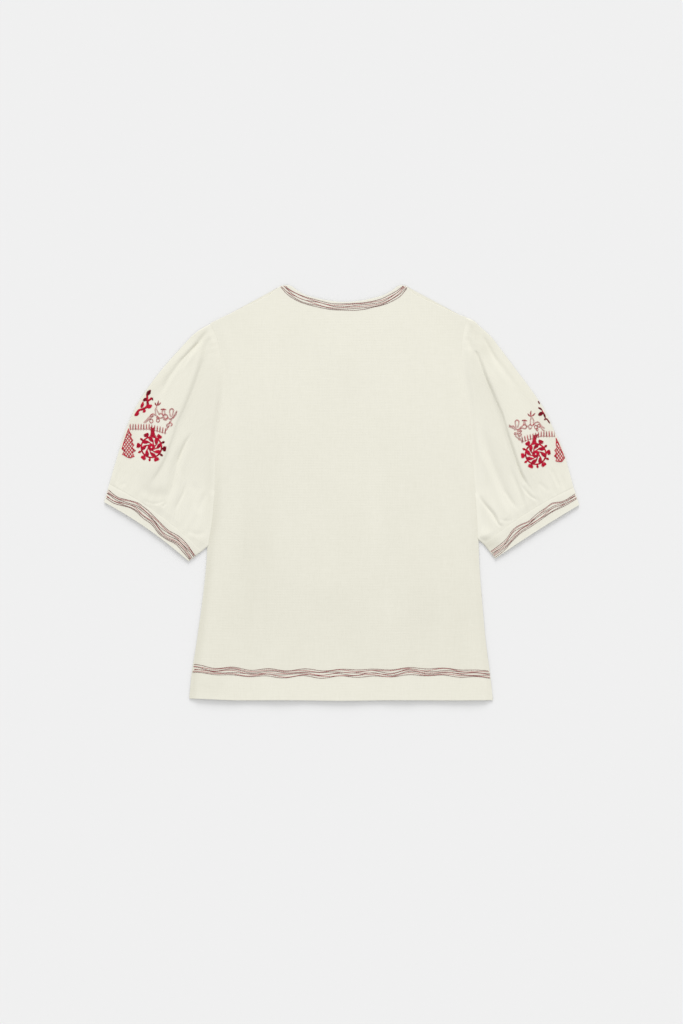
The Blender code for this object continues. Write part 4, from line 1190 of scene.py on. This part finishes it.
motifs = {
    "left": {
        "centre": (-304.3, 73.1), "mirror": 1, "darkLeaves": [0, 3], "darkBalls": [0],
        "stem": ([(2.2, 16.0), (2.0, 22.0), (1.6, 27.0), (1.2, 30.0)], [7.6, 4.8, 4.0, 4.5]),
        "fork": [([(1.0, 28.5), (-0.4, 30.6), (-1.0, 32.4)], [2.6, 1.8, 1.0]),
                 ([(1.8, 28.5), (3.6, 30.4), (4.6, 31.8)], [2.6, 1.8, 1.0])],
        "leaves": [
            Leaf([(-1.9, 91.4), (-4.6, 87.5), (-7.7, 83.0)], [1.9, 4.8, 2.6]),
            Leaf([(-7.2, 84.0), (-6.9, 77.0), (-5.9, 66.4)], [2.7, 2.6, 3.7]),
            Leaf([(-5.6, 74.4), (-2.1, 76.6), (0.5, 78.6)], [2.4, 2.6, 3.2]),
            Leaf([(0.5, 78.6), (1.4, 77.0), (1.8, 75.0)], [2.9, 1.9, 1.1]),
            Leaf([(-13.6, 72.8), (-14.6, 68.3), (-16.8, 63.5)], [1.1, 3.8, 2.6]),
            Leaf([(-5.9, 66.4), (-9.8, 62.9), (-14.6, 60.6), (-20.0, 59.4), (-22.7, 56.3), (-23.8, 52.6)],
                 [3.7, 3.0, 3.2, 2.7, 2.9, 3.8]),
            Leaf([(-14.6, 60.6), (-12.0, 59.0), (-11.0, 57.1)], [2.4, 2.6, 3.2]),
            Leaf([(-6.6, 67.4), (-4.3, 65.8), (-1.4, 64.5)], [3.2, 3.8, 4.2])],
        "balls": [Ball((-10.4, 76.3), 2.8), Ball((-3.0, 65.0), 3.0), Ball((-23.8, 53.0), 3.0),
                  Ball((-11.7, 57.4), 2.1)],
        "lines": [
            [(-12.0, 39.2), (-8.8, 42.7), (-5.9, 46.2), (-2.7, 49.1), (-0.2, 52.0), (2.7, 53.3),
             (5.6, 51.7)],
            [(-9.8, 39.5), (-6.6, 42.1), (-3.5, 45.0), (-0.8, 46.9), (1.8, 49.4), (3.4, 50.1)],
            [(5.6, 51.7), (9.4, 49.4), (12.0, 46.9), (15.2, 46.2), (17.8, 47.8)],
            [(6.9, 53.3), (6.2, 57.1), (6.1, 60.3), (8.2, 64.2), (8.5, 67.0)],
            [(11.7, 53.9), (9.4, 57.4), (8.5, 60.3)],
            [(12.0, 52.0), (14.6, 53.9), (17.1, 53.0), (18.4, 50.4)],
            [(18.7, 49.8), (17.8, 53.9), (17.3, 57.8), (18.9, 59.7)],
            [(15.5, 60.3), (19.0, 60.6), (22.6, 60.0)],
            [(21.9, 50.4), (21.3, 55.2), (20.6, 59.7)],
            [(18.1, 47.5), (20.3, 44.0), (23.2, 43.4), (25.8, 45.9)],
            [(19.0, 50.4), (21.6, 52.3), (24.8, 51.0), (26.1, 47.8), (23.8, 45.6), (20.6, 46.6),
             (19.0, 50.4)],
            [(26.4, 47.5), (29.6, 44.6), (32.8, 46.2), (36.0, 49.1)],
            [(30.7, 48.8), (29.3, 53.9), (29.4, 58.7), (32.2, 61.4), (34.9, 60.0), (34.7, 54.9),
             (32.8, 49.4)],
            [(34.4, 46.9), (36.6, 51.0), (39.2, 55.2), (40.5, 57.1)],
            [(40.5, 57.1), (39.5, 52.6), (37.0, 48.8), (34.7, 46.2)],
            [(32.8, 45.6), (31.5, 42.1), (29.3, 39.5), (29.0, 36.6)],
            [(29.0, 39.5), (32.2, 37.9), (33.1, 35.5), (31.2, 33.8)],
            [(28.6, 37.9), (25.8, 36.6), (24.5, 34.1), (26.4, 32.2), (28.3, 34.4)],
            [(28.0, 33.4), (25.4, 29.6), (22.9, 26.4)]],
        "tips": [[(8.0, 66.6), (6.4, 68.6), (5.4, 71.4)], [(8.6, 67.0), (10.2, 70.2), (11.2, 74.2)],
                 [(9.0, 66.8), (12.0, 68.2), (14.8, 71.2)], [(15.3, 60.3), (19.0, 60.7), (22.8, 60.0)]],
        "loops": [Loop((-0.3, 41.8), 2.7, 3.2), Loop((10.4, 42.7), 2.6, 2.7), Loop((0.2, 50.4), 1.9, 1.9),
                  Loop((9.8, 47.2), 1.6, 1.6)],
        "bars": {"first": (-34.2, 32.3), "step": 4.35, "count": 14, "level": 7, "drop": 1.12, "tall": 6.4,
                 "lean": -0.10},
        "cone": [(-37.1, 29.0), (-35.0, 24.0), (-32.4, 19.4), (-33.8, 17.0), (-30.4, 11.0), (-32.0, 9.0),
                 (-28.4, 3.4), (-31.4, -0.6), (-29.4, -2.4), (-26.0, -5.4), (-30.6, -8.6), (-28.0, -14.6),
                 (-33.8, -17.0), (-39.0, -15.6), (-42.2, -13.4), (-46.4, -11.2), (-43.6, -6.2),
                 (-47.4, -2.4), (-44.4, 8.0), (-40.6, 19.0)],
    },
    "right": {
        "centre": (309.4, 62.2), "mirror": -1, "darkLeaves": [0, 1, 3, 4], "darkBalls": [0, 1],
        "stem": ([(-2.4, 16.0), (-2.4, 22.0), (-1.4, 26.0), (0.4, 29.6)], [6.6, 4.1, 3.7, 3.5]),
        "fork": [([(-1.6, 27.0), (-3.6, 29.0), (-4.4, 30.4)], [2.4, 1.6, 1.0]),
                 ([(0.4, 28.6), (2.6, 30.6), (4.4, 31.2)], [2.6, 1.8, 1.0])],
        "leaves": [
            Leaf([(4.3, 84.6), (5.3, 82.6), (6.6, 80.3)], [1.2, 2.0, 1.1]),
            Leaf([(4.6, 73.9), (7.2, 73.0), (10.1, 70.4)], [1.7, 2.3, 1.4]),
            Leaf([(10.2, 70.4), (11.4, 67.8), (13.4, 65.0)], [1.2, 1.5, 1.5]),
            Leaf([(12.6, 65.9), (14.3, 62.0), (15.6, 58.0)], [1.3, 2.3, 1.5]),
            Leaf([(14.6, 54.6), (15.6, 56.2), (17.8, 56.0), (20.1, 53.4), (22.6, 49.4)],
                 [1.9, 2.0, 1.6, 1.7, 1.3])],
        "balls": [Ball((8.2, 64.3), 3.2), Ball((15.0, 55.4), 1.3)],
        "lines": [
            [(-42.4, 45.8), (-39.2, 44.2), (-35.7, 44.2), (-33.4, 41.9)],
            [(-42.7, 43.5), (-39.2, 42.2), (-36.0, 41.0), (-33.1, 38.1)],
            [(-31.5, 42.9), (-32.8, 48.0), (-32.5, 52.5), (-29.9, 54.2), (-27.4, 52.5), (-27.5, 47.4),
             (-29.0, 42.6)],
            [(-33.4, 41.9), (-29.6, 39.0), (-25.8, 40.3), (-24.5, 43.2)],
            [(-24.5, 40.6), (-21.9, 44.5), (-18.4, 46.7), (-15.2, 45.4), (-14.9, 42.2), (-17.8, 40.3),
             (-21.6, 41.6), (-24.5, 40.6)],
            [(-19.4, 46.7), (-19.2, 50.2), (-18.7, 53.1)], [(-16.5, 47.0), (-17.1, 50.6), (-17.6, 53.1)],
            [(-21.6, 53.4), (-17.9, 53.9), (-14.6, 53.1)],
            [(-14.6, 43.8), (-11.0, 45.1), (-8.8, 47.7)], [(-11.7, 42.9), (-9.1, 40.0), (-6.6, 41.9)],
            [(-8.8, 47.0), (-6.2, 45.1), (-3.7, 47.0), (-2.1, 50.2)],
            [(-8.2, 47.7), (-8.5, 52.8), (-7.5, 57.0), (-7.5, 60.5)],
            [(-3.7, 50.2), (-3.4, 54.4), (-5.3, 57.9)],
            [(-3.4, 46.7), (-0.2, 49.9), (2.7, 51.2), (5.9, 49.6), (8.2, 46.1), (10.7, 43.5), (13.9, 41.3)],
            [(6.2, 44.2), (8.8, 41.9), (11.4, 38.7), (13.6, 37.4)],
            [(-29.0, 38.7), (-29.3, 35.5), (-28.3, 32.6)], [(-26.4, 39.0), (-27.4, 35.5)],
            [(-31.8, 30.4), (-34.1, 31.4), (-33.6, 33.6), (-30.6, 32.6), (-28.0, 30.1)],
            [(-28.0, 32.0), (-25.1, 33.0), (-23.2, 30.7), (-24.8, 28.8), (-27.4, 29.8)],
            [(-27.7, 29.1), (-25.8, 25.0), (-23.5, 21.4), (-21.9, 17.9)],
            [(-32.5, 28.2), (-29.3, 25.9), (-26.4, 22.1)]],
        "tips": [[(-7.8, 60.0), (-10.4, 61.6), (-12.8, 64.4)], [(-7.5, 60.6), (-8.0, 64.6), (-7.4, 69.2)],
                 [(-7.0, 60.2), (-4.0, 62.0), (-0.8, 65.4)], [(-21.6, 53.4), (-18.0, 53.9), (-14.6, 53.1)]],
        "loops": [Loop((0.2, 43.2), 2.2, 3.0), Loop((5.0, 45.1), 2.4, 2.2), Loop((2.4, 39.0), 1.4, 2.2),
                  Loop((-24.2, 36.5), 1.4, 1.6)],
        "bars": {"first": (30.6, 31.8), "step": -4.35, "count": 13, "level": 5, "drop": 1.27, "tall": 6.2,
                 "lean": 0.10},
        "cone": [(32.8, 25.0), (33.1, 20.2), (32.8, 14.7), (34.7, 11.2), (30.9, 5.8), (33.4, 2.2),
                 (30.2, -3.2),
                 (33.8, -6.1), (32.8, -10.9), (37.6, -12.2), (42.1, -11.8), (46.4, -6.1), (43.0, 2.9),
                 (39.5, 10.6), (36.3, 18.9)],
    },
}


def heading(turn):
    return np.array([math.cos(turn), math.sin(turn)])


def polar(turn, away):
    return heading(math.radians(turn)) * away


def satin(route, widths, thick=fill["thick"]):
    # Side by side stitches across a route of changing width
    count = max(3, int(runLengths(np.asarray(route, float))[-1] / fill["pitch"]))
    shares = np.linspace(0, 1, count)
    line = finely(route, count)
    aside = leftOf(line) * smoothThrough(np.linspace(0, 1, len(widths)), widths, shares)[:, None] / 2
    return [(a, b, thick) for a, b in zip(line - aside, line + aside)]


def disc(place, radius, turn=0.6):
    count = max(3, int(2 * radius / fill["pitch"]))
    across, along = heading(turn), heading(turn + math.pi / 2)
    strokes = []
    for offset in np.linspace(-0.93, 0.93, count) * radius:
        half = math.sqrt(radius**2 - offset**2)
        middle = np.asarray(place, float) + along * offset
        strokes.append((middle - across * half, middle + across * half, fill["thick"]))
    return strokes


def ringStitches(inner, outer):
    count = int(math.pi * (inner + outer) / fill["pitch"])
    turns = np.linspace(0, 2 * math.pi, count, endpoint=False)
    return [(heading(turn) * inner, heading(turn) * outer, fill["thick"]) for turn in turns]


def stemStitches(route, thick=fill["outline"]):
    # Overlapping stitches along a line
    route = np.asarray(route, float)
    count = max(1, int(round(runLengths(route)[-1] / fill["stem"])))
    line = finely(route, count + 1) if len(route) > 2 else np.linspace(*route, count + 1)
    return [(a - (b - a) * fill["overlap"], b + (b - a) * fill["overlap"], thick)
            for a, b in zip(line[:-1], line[1:])]


def doubledStitches(route):
    # Two lines of thin stitches side by side
    line = finely(route, 12)
    return [stroke for aside in (-fill["doubleApart"], fill["doubleApart"])
            for stroke in stemStitches(offsetLine(line, np.full(12, aside)), fill["doubleThick"])]


def rosetteStrokes(mirror, darkEnd):
    look, plain, dark = rosette, [], []
    plain += ringStitches(look["hole"], look["eye"])
    plain += ringStitches(look["ring"] - look["ringWidth"] / 2, look["ring"] + look["ringWidth"] / 2)
    for turn in look["knobs"]:
        out = polar(turn, 1)
        aside = np.array([-out[1], out[0]])
        wide, tall = look["knob"]
        strokes = dark if darkEnd and turn == look["darkKnob"] else plain
        strokes += satin([out * look["ring"], out * (look["knobAt"] - tall / 3)], [look["neck"]] * 2)
        head = out * look["knobAt"] + aside * 0.4
        strokes += satin([head - out * tall / 2, head + out * tall * 0.1, head + out * tall / 2],
                         [wide * 0.8, wide, wide * 0.86])
        hook = head - aside * wide * 0.45
        strokes += satin([hook + out * tall * 0.3, hook - aside * 0.8 + out * 0.3,
                          hook - aside * 0.6 - out * 1.3], [1.6, 1.4, 0.8])
    for turn in look["beads"]:
        out = polar(turn, 1)
        strokes = dark if darkEnd and turn in look["darkBeads"] else plain
        strokes += satin([out * look["ring"], out * (look["beadAt"] - look["bead"])], [2.8, 1.8])
        strokes += disc(out * look["beadAt"], look["bead"], math.radians(turn))
    for turn in look["petals"]:
        # A fat comma whose tail curls in to the eye
        route = [polar(turn + 8, look["petalAt"] + 2.6), polar(turn, look["petalAt"]),
                 polar(turn - 11, 10.8), polar(turn - 27, 8.2), polar(turn - 43, 5.6)]
        plain += satin(route, [2.6, look["petal"], look["petal"] * 0.8, 1.4, 0.9])
    flip = np.array([mirror, 1])
    return [[(a * flip, b * flip, thick) for a, b, thick in strokes] for strokes in (plain, dark)]


def insideOf(outline, x, y):
    inside, count = False, len(outline)
    for k in range(count):
        (ax, ay), (bx, by) = outline[k], outline[k - 1]
        if (ay > y) != (by > y) and x < ax + (bx - ax) * (y - ay) / (by - ay):
            inside = not inside
    return inside


def latticeStrokes(outline):
    # Crossing diagonals inside the outline
    points, step = np.asarray(outline, float), lattice["step"]
    low, high = points.min(0), points.max(0)
    strokes = []
    for slope in (lattice["slope"], -lattice["slope"]):
        for start in np.arange(low[0] - 60, high[0] + 60, lattice["pitch"]):
            run = None
            for x in np.arange(low[0], high[0], step):
                y = low[1] + slope * (x - start)
                inside = low[1] <= y <= high[1] and insideOf(outline, x, y)
                if inside and run is None:
                    run = (x, y)
                if not inside and run is not None:
                    if x - run[0] > lattice["shortest"]:
                        strokes += stemStitches([run, (x - step, y - slope * step)], lattice["thick"])
                    run = None
    closed = [tuple(p) for p in points] + [tuple(points[0])]
    for a, b in zip(closed[:-1], closed[1:]):
        strokes += stemStitches([a, b], lattice["edgeThick"])
    return strokes


def barStrokes(bars, draws):
    strokes, feet = [], []
    for k in range(bars["count"]):
        past = max(0, k - bars["level"])
        x, y = bars["first"][0] + bars["step"] * k, bars["first"][1] - bars["drop"] * past
        half = bars["tall"] / 2
        lean = 0.25 * draws.uniform(-1, 1) - bars["lean"] * past
        feet.append(np.array([x, y - half]))
        for aside in (-0.5, 0.5):
            strokes.append((np.array([x + aside - lean, y - half]), np.array([x + aside + lean, y + half]),
                            fill["barThick"]))
    # The thread that joins their feet
    return strokes + [(a, b, fill["footThick"]) for a, b in zip(feet[:-1], feet[1:])]


def loopStrokes(loop):
    turns = np.linspace(0, 2 * math.pi, 9)
    return stemStitches([heading(turn) * (loop.wide, loop.tall) + loop.place for turn in turns])


foldEdges = {side: finely(list(shape["fold"]) + [shape["seamFold"]], 60)
             for side, shape in sleeveShapes.items()}


def foldTo(side, places):
    # Places past the sleeve's folded edge come round to its underside
    edge = foldEdges[side]
    _, hand, share = distanceTo([edge], places)
    under = (hand > 0) == (side == "left")
    nearest = smoothLine(edge, share)
    return np.where(under[:, None], 2 * nearest - places, places), under


sewnPieces = []


def finishStitches(name, rows, thread):
    sewnPieces.append(sewPiece(name, rows, threads[thread]))


def sewMotif(side, name, strokes, thread, draws):
    centre, surface = np.array(motifs[side]["centre"]), surfaces["sleeve_" + side]
    starts, startsUnder = foldTo(side, np.array([a for a, b, thick in strokes]) + centre)
    ends, endsUnder = foldTo(side, np.array([b for a, b, thick in strokes]) + centre)
    rows = []
    for k, (place, _, thick) in enumerate(strokes):
        if startsUnder[k] == endsUnder[k]:
            thick *= draws.uniform(0.92, 1.06)
            row = stitchOn(surface, starts[k], ends[k], thick, fill["sink"], bool(startsUnder[k]))
            # The thread took its dye unevenly
            patches = [math.sin(rate * at + phase) for at, (rate, phase) in zip(place, fill["dyeWaves"])]
            rows.append(row and row._replace(dye=1 + fill["dyeSpread"] * patches[0] * patches[1]))
    finishStitches("embroidery_%s_%s" % (side, name), [row for row in rows if row], thread)


def embroider(side, draws):
    motif = motifs[side]
    solid, dark = rosetteStrokes(motif["mirror"], side == "left")
    for route, widths in [motif["stem"]] + motif["fork"]:
        solid += satin(route, widths)
    for k, leaf in enumerate(motif["leaves"]):
        strokes = satin(leaf.route, np.array(leaf.widths) * fill["leafFull"])
        (dark if k in motif["darkLeaves"] else solid).extend(strokes)
    for k, ball in enumerate(motif["balls"]):
        strokes = disc(ball.place, ball.radius * fill["ballFull"])
        (dark if k in motif["darkBalls"] else solid).extend(strokes)
    fine = [stroke for route in motif["lines"] for stroke in doubledStitches(route)]
    fine += [stroke for tip in motif["tips"] for stroke in satin(tip, [0.6, 1.6, 0.6], 0.6)]
    fine += [stroke for loop in motif["loops"] for stroke in loopStrokes(loop)]
    fine += barStrokes(motif["bars"], draws)
    sewMotif(side, "solid", solid, "crimson", draws)
    sewMotif(side, "dark", dark, "wine", draws)
    sewMotif(side, "fine", fine, "rose", draws)
    sewMotif(side, "cone", latticeStrokes(motif["cone"]), "crimson", draws)


def sewTrims():
    draws = np.random.default_rng(seed)
    sewn = {key: {"maroon": [], "rose": []} for key in ("back", "front", "cuff_left", "cuff_right")}
    hemRows(sewn, draws)
    neckRows(sewn, draws)
    for side in ("left", "right"):
        cuffRows(side, sewn, draws)
    for key, byThread in sewn.items():
        for thread, rows in byThread.items():
            finishStitches("trim_%s_%s" % (key, thread), rows, thread)


sewTrims()
embroiderDraws = np.random.default_rng(seed + 1)
for side in ("left", "right"):
    embroider(side, embroiderDraws)
for piece in sewnPieces:
    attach(piece, "root")
print("stitches made:", sum(len(piece.data.polygons) for piece in sewnPieces), "faces")

# Floor, light and camera

studio = {
    "floor": {"colour": (0.794, 0.794, 0.794), "roughness": 0.95, "sheen": 0.0},
    "floorHalf": 6.0,
    "world": 0.856,
    "key": 1.794, "keyHeight": 25.0, "keyTurn": 0.0, "keyWidth": 26.0,
    "frameHeight": 1.6384,      # what the camera takes in, from top to bottom
    "centre": (-0.0008, -0.0304),
    "lens": 100.0,
    "sensor": 36.0,
}


def makeFloor():
    mesh = bpy.data.meshes.new("floor")
    half = studio["floorHalf"]
    corners = [(-half, -half, 0), (half, -half, 0), (half, half, 0), (-half, half, 0)]
    mesh.from_pydata(corners, [], [(0, 1, 2, 3)])
    floor = bpy.data.objects.new("floor", mesh)
    bpy.context.collection.objects.link(floor)
    floor.data.materials.append(principled("floor_paper", studio["floor"])[0])


def makeLight():
    scene = bpy.context.scene
    world = bpy.data.worlds.new("studio")
    scene.world = world
    world.use_nodes = True
    background = world.node_tree.nodes["Background"]
    background.inputs["Color"].default_value = (1, 1, 1, 1)
    background.inputs["Strength"].default_value = studio["world"]
    sun = bpy.data.lights.new("key", "SUN")
    sun.energy = studio["key"]
    sun.angle = math.radians(studio["keyWidth"])
    key = bpy.data.objects.new("key", sun)
    tilt = math.radians(90 - studio["keyHeight"])
    turn = math.radians(studio["keyTurn"])
    towards = Vector((math.sin(tilt) * math.sin(turn), -math.sin(tilt) * math.cos(turn), -math.cos(tilt)))
    key.rotation_euler = towards.to_track_quat("-Z", "Y").to_euler()
    bpy.context.collection.objects.link(key)


def makeCamera():
    camera = bpy.data.cameras.new("camera")
    camera.lens = studio["lens"]
    camera.sensor_fit = "VERTICAL"
    camera.sensor_height = studio["sensor"]
    away = studio["frameHeight"] * studio["lens"] / studio["sensor"]
    view = bpy.data.objects.new("camera", camera)
    view.location = (*studio["centre"], away)
    bpy.context.collection.objects.link(view)
    bpy.context.scene.camera = view


makeFloor()
makeLight()
makeCamera()
bpy.context.scene.view_settings.view_transform = "Standard"

# The pieces stand for the frame's solids

standsFor = {
    "back": (backPanel, "body_cotton"),
    "front": (frontPanel, "body_cotton"),
    "sleeve_left": (sleeves["left"], "sleeve_cotton"),
    "sleeve_right": (sleeves["right"], "sleeve_cotton"),
    "cuff_left": (cuffs["left"], "cuff_cotton"),
    "cuff_right": (cuffs["right"], "cuff_cotton"),
}
for node, (piece, slot) in standsFor.items():
    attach(piece, "root")
    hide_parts(node)


def shellArea(piece):
    return sum(p.area for p in piece.data.polygons) / 2


print("areas:", {name: round(shellArea(piece), 4) for name, (piece, _) in standsFor.items()})
